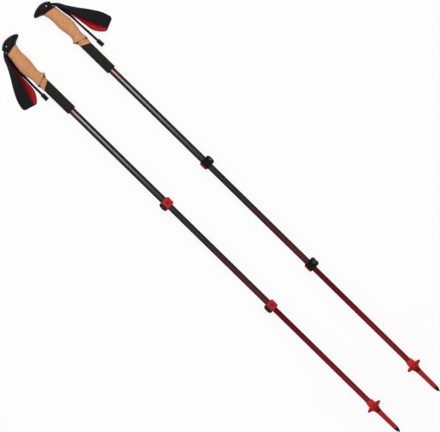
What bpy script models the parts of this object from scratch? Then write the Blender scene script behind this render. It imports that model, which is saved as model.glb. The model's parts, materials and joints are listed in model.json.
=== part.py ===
"""A pair of three-section trekking poles with cork grips, wrist straps and lever locks.

Both poles lie side by side on a flat surface, fully drawn out, tips towards +X.
Metres, +Z up. The left pole (-Y) has its locking levers up. The right pole is the same
pole turned half a turn about its own axis, so its levers face down.

Each pole is drawn in its own frame: x towards the tip, y towards the front of the hand,
z towards the levers, with the frame's origin at the point of the tip. A place along the
pole is a station, its distance from that point, so x is minus the station.
"""
import math

import bmesh
import bpy
from mathutils import Matrix, Vector

MM = 0.001

# ---- driving sizes ---------------------------------------------------------------------------
SEAT_GAP = 0.3 * MM           # between pieces that bear on each other
RUNNING_GAP = 0.3 * MM        # between pieces that slide or turn in each other
ROUND_SIDES = 24
SMALL_SIDES = 16
RING_SIDES = 24

POLE_SPACING = 143.0 * MM     # between the two poles' axes

# tubes: outer radius, wall
UPPER_TUBE_R = 9.0 * MM
UPPER_TUBE_WALL = 0.7 * MM
MID_TUBE_WALL = 0.7 * MM
LOWER_TUBE_WALL = 0.9 * MM
MID_TUBE_R = UPPER_TUBE_R - UPPER_TUBE_WALL - RUNNING_GAP
LOWER_TUBE_R = MID_TUBE_R - MID_TUBE_WALL - RUNNING_GAP

# lengths that follow each other from the tip's point up to the crown of the pommel
TIP_LENGTH = 13.9 * MM
FERRULE_LENGTH = 59.1 * MM
BAND_LENGTH = 6.0 * MM
BASKET_HUB_LENGTH = 32.0 * MM
LOWER_SHOWN = 330.3 * MM
CLAMP_LENGTH = 24.0 * MM
MID_SHOWN = 343.7 * MM
UPPER_SHOWN = 322.9 * MM
GRIP_LENGTH = 244.1 * MM

# how far each tube runs up inside the next one, and its bush
LOWER_INSERTION = 60.0 * MM
MID_INSERTION = 67.0 * MM
BUSH_HEAD = 20.0 * MM
BUSH_PLUG = 20.0 * MM
BUSH_CHAMFER = 0.8 * MM
TUBE_END_INSET = 1.0 * MM     # a tube's lower end stays this far inside its clamp

# tip
TIP_R = 5.6 * MM
TIP_STEM_R = 2.9 * MM
TIP_STEM_LENGTH = 16.0 * MM
FERRULE_LOW_R = 5.9 * MM
FERRULE_TOP_R = 7.0 * MM
FERRULE_TAPER_BREAK = 13.0 * MM  # below its top, where the ferrule narrows less quickly
FERRULE_PLUG_LENGTH = 38.0 * MM
COLLAR_WALL = 1.25 * MM

# basket: six lobes, the two lowest of which rest on the floor
LOBES = 6
LOBE_TIP_R = 21.0 * MM
LOBE_CORNER_R = 20.25 * MM
LOBE_CORNER_ANGLE = math.radians(6.0)
LOBE_ROOT_R = 9.6 * MM
LOBE_ROOT_ANGLE = math.radians(27.0)
LOBE_ROOT_THICKNESS = 13.0 * MM
LOBE_RIM_R = 22.0 * MM        # the lobes' taper ends here, just past their tips
LOBE_RIM_THICKNESS = 4.0 * MM
LOBE_ABOVE_BAND = 12.0 * MM   # the lobes' mid plane above the hub's lower end
HUB_SHOULDER_R = 10.8 * MM
HUB_LOW_R = 8.4 * MM
HUB_TOP_R = 8.2 * MM

# lever locks, measured from the tube that they clamp
COLLAR_OF_CLAMP = 2.3 * MM    # the clamp's wall
EAR_HALF_HEIGHT = 6.5 * MM
EAR_REACH = 3.6 * MM          # the ears' square end behind the clamp's round
CLAMP_SLIT = 1.2 * MM
PIN_BEHIND_ROUND = 2.0 * MM
BOSS_R = 5.2 * MM
BARREL_R = 3.2 * MM
BARREL_LENGTH = 20.0 * MM
HUB_WALL = 1.2 * MM
SCREW_R = 1.5 * MM
SCREW_HEAD_R = 3.6 * MM
SCREW_HEAD = 2.6 * MM
SCREW_HEAD_CHAMFER = 0.4 * MM
SCREW_PAST_PIN = 2.0 * MM
LEVER_GAP = 0.4 * MM
LEVER_THICKNESS = 3.0 * MM
LEVER_LENGTH = 24.0 * MM
LEVER_CORNER = 6.0 * MM       # cut off the lever's free corners in plan
LEVER_HUB_CORNER = 4.2 * MM   # and off its hub's corners
LEVER_FREE_CUT = 3.6 * MM     # along the pole, at the free end
LEVER_FREE_ANGLE = math.radians(-30.0)
LEVER_SLOT = 4.4 * MM
DIMPLE_R = 3.0 * MM
DIMPLE_DEPTH = 1.0 * MM
DIMPLE_FORWARD = 3.0 * MM

# grip
FOAM_R = 13.0 * MM
FOAM_SEAT = 0.35 * MM         # along the pole, where the foam meets the cork's slanted end
POMMEL_PLUG_LENGTH = 30.0 * MM
PLUG_HEAD_BELOW_CROWN = 23.3 * MM  # the plug starts inside the pommel's head
TUBE_BELOW_CROWN = 31.0 * MM  # the upper tube's top end
STRAP_PIN_R = 1.6 * MM
STRAP_PIN_BELOW_CROWN = 15.0 * MM
GUIDE_PIN_R = 1.2 * MM
GUIDE_PIN_BELOW_CROWN = 26.0 * MM
GUIDE_PIN_REACH = -12.4 * MM
SLOT_HALF_WIDTH = 10.0 * MM
WEBBING = 1.0 * MM            # thickness of the strap's webbing
WEBBING_HALF_WIDTH = 9.4 * MM
LINING = 0.5 * MM
WRAP_R = STRAP_PIN_R + SEAT_GAP + WEBBING / 2.0
TAB_LENGTH = 19.5 * MM
TAB_THICKNESS = 11.0 * MM
TAB_HEIGHT = 14.0 * MM
STRAP_HINGE_BELOW_CROWN = 23.2 * MM
STRAP_HINGE_REACH = -18.8 * MM
RIGHT_STRAP_SWING = math.radians(4.5)   # the right strap lies a little wider open
RIGHT_TAIL_SWING = math.radians(1.2)
RIGHT_LOWER_LOCK_ROLL = math.radians(12.0)

# ---- sizes that follow from them -------------------------------------------------------------
UPPER_BORE_R = UPPER_TUBE_R - UPPER_TUBE_WALL
MID_BORE_R = MID_TUBE_R - MID_TUBE_WALL
LOWER_BORE_R = LOWER_TUBE_R - LOWER_TUBE_WALL
COLLAR_IN_R = LOWER_BORE_R
COLLAR_OUT_R = COLLAR_IN_R + COLLAR_WALL
BASKET_BORE_R = COLLAR_OUT_R + RUNNING_GAP

COLLAR_LOW = TIP_LENGTH + FERRULE_LENGTH
BASKET_LOW = COLLAR_LOW + BAND_LENGTH
BASKET_TOP = BASKET_LOW + BASKET_HUB_LENGTH
LOWER_LOCK = BASKET_TOP + LOWER_SHOWN + CLAMP_LENGTH / 2.0
UPPER_LOCK = LOWER_LOCK + CLAMP_LENGTH + MID_SHOWN
FOAM_LOW = UPPER_LOCK + CLAMP_LENGTH / 2.0 + UPPER_SHOWN
CROWN = FOAM_LOW + GRIP_LENGTH

# The pole lies on its basket's two lowest lobes and on the flat cheek of its pommel.
HALF_LOBE_STEP = math.pi / LOBES
AXIS_HEIGHT = LOBE_CORNER_R * math.cos(HALF_LOBE_STEP - LOBE_CORNER_ANGLE)
CHEEK = AXIS_HEIGHT

# Local Z of a turned piece runs up the pole, and its local X towards the levers.
UP_THE_POLE = (0.0, -math.pi / 2.0, 0.0)
# Local X and Y of an outline drawn across the pole are the pole's front and lever sides.
ACROSS_THE_POLE = Matrix(((0, 0, 1), (1, 0, 0), (0, 1, 0))).to_euler()

# ---- outlines in the side view: (millimetres below the crown, reach to the front) -------------
# Rings of the cork: front point, rear point, half width across the hand.
CORK_RINGS = (
    ((26.0, 21.3), (31.6, -14.4), 15.0),
    ((32.6, 19.6), (37.6, -14.8), 15.6),
    ((44.0, 17.1), (50.0, -16.0), 15.8),
    ((56.0, 16.6), (61.0, -17.6), 16.2),
    ((75.4, 17.5), (78.0, -20.0), 16.6),
    ((88.0, 16.0), (92.0, -20.1), 16.0),
    ((103.0, 13.6), (107.0, -17.4), 14.4),
    ((113.0, 12.9), (118.2, -15.1), 13.6),
    ((120.5, 14.2), (128.0, -14.7), 13.6),
    ((125.0, 17.5), (134.0, -15.2), 14.2),
    ((128.8, 21.0), (140.9, -16.9), 15.6),
    ((133.3, 16.6), (144.5, -15.4), 14.4),
    ((140.5, 13.4), (152.0, -13.6), 13.3),
    ((146.2, 13.0), (159.8, -13.0), 13.0),
)
# The foam's rounded lower end: above that end, inside the foam's radius.
FOAM_ROUNDING = ((80.0, 0.0), (3.0, 0.0), (0.8, 0.6), (0.0, 2.0))
POMMEL_RINGS = (
    ((25.7, 21.4), (31.3, -14.5), 15.2),
    ((23.0, 26.0), (28.0, -15.0), 16.4),
    ((20.6, 31.3), (24.0, -15.2), 17.8),
    ((18.7, 37.0), (21.0, -15.2), 19.0),
    ((16.6, 41.6), (18.0, -15.1), 20.4),
    ((12.4, 43.4), (14.5, -14.7), 21.0),
    ((7.6, 39.6), (11.4, -13.6), 20.0),
    ((4.2, 33.2), (8.1, -10.8), 17.4),
    ((1.9, 26.2), (4.8, -6.3), 14.0),
    ((0.6, 19.4), (2.1, -0.8), 9.4),
    ((0.0, 13.5), (0.4, 6.0), 3.6),
)
POMMEL_BEAK_TAPER = 0.18      # the pommel narrows towards its beak
SLOT_ROOF = 10.6
STRAP_SLOT = ((SLOT_ROOF, 4.6), (19.1, 4.6), (20.5, -4.0), (25.5, -11.0), (27.8, -14.0),
              (27.8, -24.0), (SLOT_ROOF, -24.0))
STRAP_WEDGE = ((11.0, -2.0), (12.6, -2.0), (18.0, -13.8), (17.6, -14.6), (12.4, -14.2),
               (11.0, -12.9))
# Where the two runs of webbing leave the pommel, as they come round the strap pin.
ROOT_ENDS = ((20.0, -15.3), (23.4, -14.9))

# The strap's band: its lower and its upper edge, (below the crown, reach, height), from the
# pommel down the outer run, round the fold and back up the inner run.
STRAP_ROWS = (
    ((22.4, -16.4, -9.2), (22.4, -16.4, 9.2)),
    ((23.4, -20.4, -9.5), (23.0, -19.9, 9.2)),
    ((33.0, -28.5, -11.8), (32.5, -22.6, 8.0)),
    ((50.0, -35.5, -15.0), (50.0, -26.7, 5.0)),
    ((75.0, -49.5, -17.4), (73.0, -31.5, 2.5)),
    ((100.0, -65.0, -17.9), (100.0, -38.0, 1.0)),
    ((126.0, -78.5, -17.9), (126.0, -44.5, 0.6)),
    ((148.0, -84.6, -17.9), (151.0, -52.0, 0.6)),
    ((157.0, -83.0, -17.9), (163.5, -55.8, 0.6)),
    ((160.0, -75.5, -17.9), (169.0, -52.0, 0.6)),
    ((156.5, -64.0, -17.9), (165.5, -45.5, 0.6)),
    ((148.5, -55.0, -17.9), (152.0, -35.0, 0.6)),
    ((136.0, -49.0, -17.9), (138.0, -29.4, 0.6)),
    ((118.0, -43.5, -17.9), (118.0, -27.8, 0.8)),
    ((95.0, -38.5, -17.9), (95.0, -26.8, 1.2)),
    ((72.0, -34.0, -16.8), (72.0, -25.2, 2.6)),
    ((50.0, -27.6, -14.4), (50.0, -22.6, 5.2)),
    ((34.0, -21.8, -11.5), (34.0, -19.8, 8.0)),
    ((25.8, -18.4, -9.8), (25.8, -18.0, 9.0)),
)
LINED_ROWS = (4.0, 15.0)      # the lining starts and ends at these rows
STRAP_STEPS_PER_ROW = 2
LINING_EDGE = 0.06            # share of the band's width left bare at each edge
TAIL_ROWS = (
    ((27.0, -16.9, -8.0), (27.0, -16.9, 7.0)),
    ((50.0, -24.6, -12.5), (50.0, -17.7, 2.5)),
    ((75.0, -27.0, -16.4), (75.0, -21.1, -1.6)),
    ((100.0, -26.0, -17.6), (100.0, -21.0, -3.2)),
    ((130.0, -26.4, -17.6), (130.0, -20.8, -3.6)),
    ((161.0, -26.4, -17.6), (161.0, -20.6, -3.6)),
)
TAIL_STEPS_PER_ROW = 2

# name: colour, roughness, metallic
FINISHES = {
    "cork": ((0.63, 0.30, 0.13), 0.85, 0.0),
    "black_plastic": ((0.010, 0.010, 0.012), 0.42, 0.0),
    "foam": ((0.020, 0.017, 0.017), 0.92, 0.0),
    "webbing": ((0.014, 0.014, 0.019), 0.88, 0.0),
    "red_lining": ((0.38, 0.010, 0.014), 0.80, 0.0),
    "steel": ((0.60, 0.60, 0.60), 0.30, 1.0),
    "grey_anodised": ((0.045, 0.046, 0.050), 0.35, 0.8),
    "brown_anodised": ((0.055, 0.026, 0.022), 0.35, 0.8),
    "red_anodised": ((0.150, 0.010, 0.016), 0.33, 0.8),
    "red_plastic": ((0.46, 0.014, 0.024), 0.35, 0.0),
    "dark_red_plastic": ((0.12, 0.006, 0.008), 0.45, 0.0),
    "grey_plastic": ((0.09, 0.09, 0.09), 0.6, 0.0),
    "carbide": ((0.020, 0.020, 0.022), 0.45, 0.6),
}


# ---- tools of the trade ----------------------------------------------------------------------
def clear_scene():
    for old in list(bpy.data.objects):
        bpy.data.objects.remove(old, do_unlink=True)


def new_collection(name):
    collection = bpy.data.collections.new(name)
    bpy.context.scene.collection.children.link(collection)
    return collection


def material_for(name, finish):
    colour, roughness, metallic = FINISHES[finish]
    material = bpy.data.materials.new(name)
    material.use_nodes = True
    shader = material.node_tree.nodes["Principled BSDF"]
    shader.inputs["Base Color"].default_value = (*colour, 1.0)
    shader.inputs["Roughness"].default_value = roughness
    shader.inputs["Metallic"].default_value = metallic
    return material


def hang(obj, frame, location=(0.0, 0.0, 0.0), rotation=(0.0, 0.0, 0.0)):
    obj.parent = frame
    obj.location = location
    obj.rotation_euler = rotation


def as_part(name, mesh, finish, frame, location=(0.0, 0.0, 0.0), rotation=(0.0, 0.0, 0.0)):
    obj = bpy.data.objects.new(name, mesh)
    PARTS.objects.link(obj)
    mesh.materials.append(material_for(name, finish))
    hang(obj, frame, location, rotation)
    return obj


def as_cutter(name, mesh, frame, location=(0.0, 0.0, 0.0), rotation=(0.0, 0.0, 0.0)):
    obj = bpy.data.objects.new(name, mesh)
    CUTTERS.objects.link(obj)
    obj.hide_render = True
    obj.display_type = "WIRE"
    hang(obj, frame, location, rotation)
    return obj


def combine(target, other, operation):
    boolean = target.modifiers.new(other.name, "BOOLEAN")
    boolean.object = other
    boolean.operation = operation
    boolean.solver = "EXACT"


def frame_at(name, parent, location=(0.0, 0.0, 0.0), rotation=(0.0, 0.0, 0.0)):
    frame = bpy.data.objects.new(name, None)
    frame.empty_display_size = 0.02
    PARTS.objects.link(frame)
    hang(frame, parent, location, rotation)
    return frame


def turned_mesh(name, outline, station, hollow):
    """Mesh of a turned profile's edges: (radius, station) pairs, down the outside first."""
    mesh = bpy.data.meshes.new(name)
    points = [(radius, 0.0, along - station) for radius, along in outline]
    edges = [(index, index + 1) for index in range(len(points) - 1)]
    if hollow:
        edges.append((len(points) - 1, 0))
    mesh.from_pydata(points, edges, [])
    return mesh


def turn(obj, sides):
    screw = obj.modifiers.new("Turn", "SCREW")
    screw.axis = "Z"
    screw.steps = sides
    screw.render_steps = sides
    screw.use_merge_vertices = True
    screw.merge_threshold = 0.00001
    screw.use_smooth_shade = True


def turned(name, outline, finish, frame, station, sides=ROUND_SIDES, hollow=False,
           rotation=UP_THE_POLE, location=None):
    """A round piece about the pole's axis, with its origin on the axis at a station."""
    mesh = turned_mesh(name, outline, station, hollow)
    place = (-station, 0.0, 0.0) if location is None else location
    obj = as_part(name, mesh, finish, frame, place, rotation)
    turn(obj, sides)
    return obj


def tube_outline(outer, inner, low, top):
    return [(outer, top), (outer, low), (inner, low), (inner, top)]


def cylinder_mesh(name, radius, depth, sides):
    """A closed cylinder about local Z, centred on its origin."""
    shape = bmesh.new()
    bmesh.ops.create_cone(shape, cap_ends=True, segments=sides, radius1=radius, radius2=radius,
                          depth=depth)
    mesh = bpy.data.meshes.new(name)
    shape.to_mesh(mesh)
    shape.free()
    mesh.shade_smooth()
    mesh.set_sharp_from_angle(angle=math.radians(35.0))
    return mesh


def box_mesh(name, size):
    shape = bmesh.new()
    bmesh.ops.create_cube(shape, size=1.0)
    bmesh.ops.scale(shape, vec=size, verts=shape.verts)
    mesh = bpy.data.meshes.new(name)
    shape.to_mesh(mesh)
    shape.free()
    return mesh


def outline_mesh(name, outlines, half_thickness):
    """A flat outline, with any holes, as a filled 2D curve made into a welded mesh."""
    curve = bpy.data.curves.new(name, "CURVE")
    curve.dimensions = "2D"
    curve.fill_mode = "BOTH"
    curve.extrude = half_thickness
    for outline in outlines:
        spline = curve.splines.new("POLY")
        spline.points.add(len(outline) - 1)
        for point, (across, up) in zip(spline.points, outline):
            point.co = (across, up, 0.0, 1.0)
        spline.use_cyclic_u = True
    carrier = bpy.data.objects.new(name, curve)
    CUTTERS.objects.link(carrier)
    evaluated = carrier.evaluated_get(bpy.context.evaluated_depsgraph_get())
    mesh = bpy.data.meshes.new_from_object(evaluated)
    bpy.data.objects.remove(carrier, do_unlink=True)
    bpy.data.curves.remove(curve)
    shape = bmesh.new()
    shape.from_mesh(mesh)
    bmesh.ops.remove_doubles(shape, verts=shape.verts, dist=0.000001)
    bmesh.ops.recalc_face_normals(shape, faces=shape.faces)
    shape.to_mesh(mesh)
    shape.free()
    mesh.name = name
    return mesh


def arc(centre, radius, start, end, steps):
    """Points of an arc, both ends included, from one angle to the other."""
    points = []
    for index in range(steps + 1):
        angle = start + (end - start) * index / steps
        points.append((centre[0] + radius * math.cos(angle), centre[1] + radius * math.sin(angle)))
    return points


def side_points(pairs):
    """(millimetres below the crown, reach) pairs as x and y in the pole's frame."""
    return [(below * MM - CROWN, reach * MM) for below, reach in pairs]


def egg_ring(front, rear, half_width, taper=0.0, half_limit=1.0):
    """A slanted egg-shaped ring through a front and a rear point of the side view."""
    front_x, front_y = side_points([front])[0]
    rear_x, rear_y = side_points([rear])[0]
    ring = []
    for index in range(RING_SIDES):
        angle = 2.0 * math.pi * index / RING_SIDES
        share = 0.5 + 0.5 * math.cos(angle)
        width = half_width * MM * math.sin(angle) * (1.0 - taper * math.cos(angle))
        width = max(-half_limit, min(half_limit, width))
        ring.append((rear_x + (front_x - rear_x) * share, rear_y + (front_y - rear_y) * share,
                     width))
    return ring


def loft_mesh(name, rings):
    """A closed skin over rings of as many points each, capped at both ends."""
    shape = bmesh.new()
    levels = [[shape.verts.new(point) for point in ring] for ring in rings]
    count = len(rings[0])
    for lower, upper in zip(levels, levels[1:]):
        for index in range(count):
            after = (index + 1) % count
            shape.faces.new((lower[index], lower[after], upper[after], upper[index]))
    shape.faces.new(levels[0])
    shape.faces.new(levels[-1])
    bmesh.ops.recalc_face_normals(shape, faces=shape.faces)
    mesh = bpy.data.meshes.new(name)
    shape.to_mesh(mesh)
    shape.free()
    mesh.shade_smooth()
    mesh.set_sharp_from_angle(angle=math.radians(40.0))
    return mesh


def between(rows, where, closed):
    """The row at a fractional place on a smooth curve through the rows."""
    count = len(rows)
    base = int(math.floor(where))
    share = where - base

    def row(index):
        return rows[index % count] if closed else rows[max(0, min(count - 1, index))]

    p0, p1, p2, p3 = row(base - 1), row(base), row(base + 1), row(base + 2)
    edges = []
    for edge in range(2):
        a, b, c, d = (Vector(point[edge]) for point in (p0, p1, p2, p3))
        edges.append(0.5 * (2.0 * b + (c - a) * share + (2.0 * a - 5.0 * b + 4.0 * c - d)
                            * share ** 2 + (3.0 * b - a - 3.0 * c + d) * share ** 3))
    return edges


def band_rows(rows, first, last, steps, closed, lift):
    """Rows of (lower, upper) edge points in the pole's frame along a hand-chosen band.

    lift is +1 where the pole lies with its levers up, and -1 where they face down.
    """
    count = int(round((last - first) * steps))
    total = count if closed else count + 1
    result = []
    for index in range(total):
        edges = between(rows, first + index / steps, closed)
        result.append([Vector((edge.x * MM - CROWN, edge.y * MM, edge.z * MM * lift))
                       for edge in edges])
    return result


def shifted(rows, distance, closed, edge_share=0.0, lift=1.0):
    """The band moved square to itself, out of the loop for a positive distance."""
    count = len(rows)
    result = []
    for index, (low, high) in enumerate(rows):
        ahead = rows[(index + 1) % count] if closed else rows[min(index + 1, count - 1)]
        behind = rows[index - 1] if closed or index > 0 else rows[0]
        along = (ahead[0] + ahead[1]) - (behind[0] + behind[1])
        across = high - low
        square = along.cross(across).normalized() * (distance * lift)
        result.append([low + across * edge_share + square, high - across * edge_share + square])
    return result


def turned_about(rows, pivot, angle):
    """The rows swung about an upright axis through a pivot."""
    swing = Matrix.Rotation(angle, 3, "Z")
    return [[pivot + swing @ (point - pivot) for point in row] for row in rows]


def band_mesh(name, rows, closed):
    """The open surface of a band, three points wide."""
    shape = bmesh.new()
    levels = []
    for low, high in rows:
        levels.append([shape.verts.new(low), shape.verts.new((low + high) / 2.0),
                       shape.verts.new(high)])
    pairs = list(zip(levels, levels[1:]))
    if closed:
        pairs.append((levels[-1], levels[0]))
    for here, after in pairs:
        for edge in range(2):
            shape.faces.new((here[edge], after[edge], after[edge + 1], here[edge + 1]))
    mesh = bpy.data.meshes.new(name)
    shape.to_mesh(mesh)
    shape.free()
    return mesh


def thicken(obj, thickness):
    solidify = obj.modifiers.new("Webbing", "SOLIDIFY")
    solidify.thickness = thickness
    solidify.offset = 0.0
    solidify.use_even_offset = True


def round_edges(obj, width, segments=2):
    bevel = obj.modifiers.new("Edges", "BEVEL")
    bevel.width = width
    bevel.segments = segments
    bevel.limit_method = "ANGLE"


# ---- grip ------------------------------------------------------------------------------------
def grip_bore(name, pole):
    """A cutter for the hole that the upper tube fills."""
    length = GRIP_LENGTH + CLAMP_LENGTH
    mesh = cylinder_mesh(name, UPPER_TUBE_R + SEAT_GAP, length, ROUND_SIDES)
    return as_cutter(name, mesh, pole["frame"], (length / 2.0 - CROWN, 0.0, 0.0), UP_THE_POLE)


def make_cork_grip(pole):
    name = pole["name"] + "_cork_grip"
    rings = [egg_ring(*ring) for ring in CORK_RINGS]
    grip = as_part(name, loft_mesh(name, rings), "cork", pole["frame"])
    combine(grip, grip_bore(name + "_bore", pole), "DIFFERENCE")


def make_foam_grip(pole):
    """The foam below the cork: its top is cut to the cork's slanted lower end."""
    name = pole["name"] + "_foam_grip"
    radius = FOAM_R / MM
    front, rear, _ = CORK_RINGS[-1]
    low = (CROWN - FOAM_LOW) / MM
    gap = FOAM_SEAT / MM
    rings = [egg_ring((front[0] + gap, radius), (rear[0] + gap, -radius), radius)]
    for above_end, inset in FOAM_ROUNDING:
        reach = radius - inset
        rings.append(egg_ring((low - above_end, reach), (low - above_end, -reach), reach))
    grip = as_part(name, loft_mesh(name, rings), "foam", pole["frame"])
    combine(grip, grip_bore(name + "_bore", pole), "DIFFERENCE")


def make_pommel(pole):
    """The head of the grip, with a plug for the tube, a slot for the strap and its pins' holes."""
    name = pole["name"] + "_pommel"
    frame = pole["frame"]
    rings = [egg_ring(*ring, POMMEL_BEAK_TAPER, CHEEK) for ring in POMMEL_RINGS]
    pommel = as_part(name, loft_mesh(name, rings), "black_plastic", frame)

    plug_top = CROWN - PLUG_HEAD_BELOW_CROWN
    plug_low = CROWN - TUBE_BELOW_CROWN - POMMEL_PLUG_LENGTH
    plug = cylinder_mesh(name + "_plug", UPPER_BORE_R - SEAT_GAP, plug_top - plug_low, ROUND_SIDES)
    place = (-(plug_top + plug_low) / 2.0, 0.0, 0.0)
    combine(pommel, as_cutter(name + "_plug", plug, frame, place, UP_THE_POLE), "UNION")

    slot = outline_mesh(name + "_slot", [side_points(STRAP_SLOT)], SLOT_HALF_WIDTH)
    combine(pommel, as_cutter(name + "_slot", slot, frame), "DIFFERENCE")

    for label, radius, below, reach in (
            ("pin", STRAP_PIN_R, STRAP_PIN_BELOW_CROWN, 0.0),
            ("guide", GUIDE_PIN_R, GUIDE_PIN_BELOW_CROWN, GUIDE_PIN_REACH)):
        hole = cylinder_mesh(name + "_" + label, radius + SEAT_GAP, 3.0 * CHEEK, SMALL_SIDES)
        cutter = as_cutter(name + "_" + label, hole, frame, (below - CROWN, reach, 0.0))
        combine(pommel, cutter, "DIFFERENCE")


def make_grip_pins(pole):
    """The pin that the strap runs round, and the thinner one that guides it out."""
    for label, radius, below, reach, length in (
            ("strap_pin", STRAP_PIN_R, STRAP_PIN_BELOW_CROWN, 0.0, 2.0 * CHEEK - 2.0 * SEAT_GAP),
            ("guide_pin", GUIDE_PIN_R, GUIDE_PIN_BELOW_CROWN, GUIDE_PIN_REACH, 1.2 * CHEEK)):
        name = pole["name"] + "_" + label
        pin = cylinder_mesh(name, radius, length, SMALL_SIDES)
        as_part(name, pin, "steel", pole["frame"], (below - CROWN, reach, 0.0))


def make_strap_wedge(pole):
    """The block that jams the webbing in the slot; its origin is on its line of travel."""
    name = pole["name"] + "_strap_wedge"
    mesh = outline_mesh(name, [side_points(STRAP_WEDGE)], SLOT_HALF_WIDTH - SEAT_GAP)
    as_part(name, mesh, "black_plastic", pole["frame"])


def make_strap_root(pole):
    """The webbing inside the pommel, out of the slot, round the pin and out again."""
    name = pole["name"] + "_strap_root"
    pin_x = STRAP_PIN_BELOW_CROWN - CROWN
    ends = side_points(ROOT_ENDS)
    path = [ends[0]]
    path += arc((pin_x, 0.0), WRAP_R, math.radians(205.0), math.radians(-25.0), 8)
    path.append(ends[1])
    half = WEBBING_HALF_WIDTH
    rows = [[Vector((x, y, -half)), Vector((x, y, half))] for x, y in path]
    root = as_part(name, band_mesh(name, rows, False), "webbing", pole["frame"])
    thicken(root, WEBBING)


# ---- strap -----------------------------------------------------------------------------------
def make_strap(pole):
    """The wrist loop with its red lining, and the loose tail with its tab."""
    prefix = pole["name"] + "_"
    pivot = Vector((STRAP_HINGE_BELOW_CROWN - CROWN, STRAP_HINGE_REACH, 0.0))
    hinge = frame_at(prefix + "strap_hinge", pole["frame"], pivot)
    lift = pole["lift"]
    swing = -pole["strap_swing"]
    rows = band_rows(STRAP_ROWS, 0.0, float(len(STRAP_ROWS)), STRAP_STEPS_PER_ROW, True, lift)
    rows = turned_about(rows, pivot, swing)
    centred = [[point - pivot for point in row] for row in rows]
    loop = as_part(prefix + "wrist_strap", band_mesh(prefix + "wrist_strap", centred, True),
                   "webbing", hinge)
    thicken(loop, WEBBING)

    first = int(LINED_ROWS[0] * STRAP_STEPS_PER_ROW)
    last = int(LINED_ROWS[1] * STRAP_STEPS_PER_ROW)
    inward = -(WEBBING / 2.0 + SEAT_GAP + LINING / 2.0)
    lined = shifted(centred, inward, True, LINING_EDGE, lift)[first:last + 1]
    lining = as_part(prefix + "strap_lining", band_mesh(prefix + "strap_lining", lined, False),
                     "red_lining", hinge)
    thicken(lining, LINING)

    tail_rows = band_rows(TAIL_ROWS, 0.0, float(len(TAIL_ROWS) - 1), TAIL_STEPS_PER_ROW, False,
                          lift)
    tail_swing = -pole["tail_swing"]
    tail_rows = [[point - pivot for point in row]
                 for row in turned_about(tail_rows, pivot, tail_swing)]
    tail = as_part(prefix + "strap_tail", band_mesh(prefix + "strap_tail", tail_rows, False),
                   "webbing", hinge)
    thicken(tail, WEBBING)

    low, high = tail_rows[-1]
    size = (TAB_LENGTH, TAB_THICKNESS, TAB_HEIGHT)
    outward = Matrix.Rotation(tail_swing, 3, "Z") @ Vector((TAB_LENGTH / 2.0 + SEAT_GAP, 0.0, 0.0))
    middle = (low + high) / 2.0 + outward
    tab = as_part(prefix + "tail_tab", box_mesh(prefix + "tail_tab", size), "black_plastic",
                  hinge, middle, (0.0, 0.0, tail_swing))
    round_edges(tab, 2.0 * MM)


# ---- tubes -----------------------------------------------------------------------------------
def make_tube(pole, label, finish, outer, bore, low, top):
    outline = tube_outline(outer, bore, low, top)
    turned(pole["name"] + "_" + label, outline, finish, pole["frame"], low, hollow=True)


def make_bush(pole, label, head_r, plug_r, seat):
    """The plastic guide in a tube's upper end: a head as wide as the next bore, and a plug."""
    top = seat + SEAT_GAP + BUSH_HEAD
    low = seat - BUSH_PLUG
    hole = plug_r * 0.5
    shoulder = seat + SEAT_GAP
    edge = BUSH_CHAMFER
    outline = [(hole, top), (head_r - edge, top), (head_r, top - edge), (head_r, shoulder),
               (plug_r, shoulder), (plug_r, low), (hole, low)]
    turned(pole["name"] + "_" + label, outline, "grey_plastic", pole["frame"], seat, hollow=True)


def make_shafts(pole):
    upper_low = UPPER_LOCK - CLAMP_LENGTH / 2.0 + TUBE_END_INSET
    make_tube(pole, "upper_shaft", "grey_anodised", UPPER_TUBE_R, UPPER_BORE_R, upper_low,
              CROWN - TUBE_BELOW_CROWN)
    mid_low = LOWER_LOCK - CLAMP_LENGTH / 2.0 + TUBE_END_INSET
    mid_top = UPPER_LOCK + CLAMP_LENGTH / 2.0 + MID_INSERTION
    make_tube(pole, "mid_shaft", "brown_anodised", MID_TUBE_R, MID_BORE_R, mid_low, mid_top)
    make_bush(pole, "mid_bush", UPPER_BORE_R - RUNNING_GAP, MID_BORE_R - SEAT_GAP, mid_top)
    lower_low = BASKET_TOP + 2.0 * SEAT_GAP
    lower_top = LOWER_LOCK + CLAMP_LENGTH / 2.0 + LOWER_INSERTION
    make_tube(pole, "lower_shaft", "red_anodised", LOWER_TUBE_R, LOWER_BORE_R, lower_low,
              lower_top)
    make_bush(pole, "lower_bush", MID_BORE_R - RUNNING_GAP, LOWER_BORE_R - SEAT_GAP, lower_top)


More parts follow.
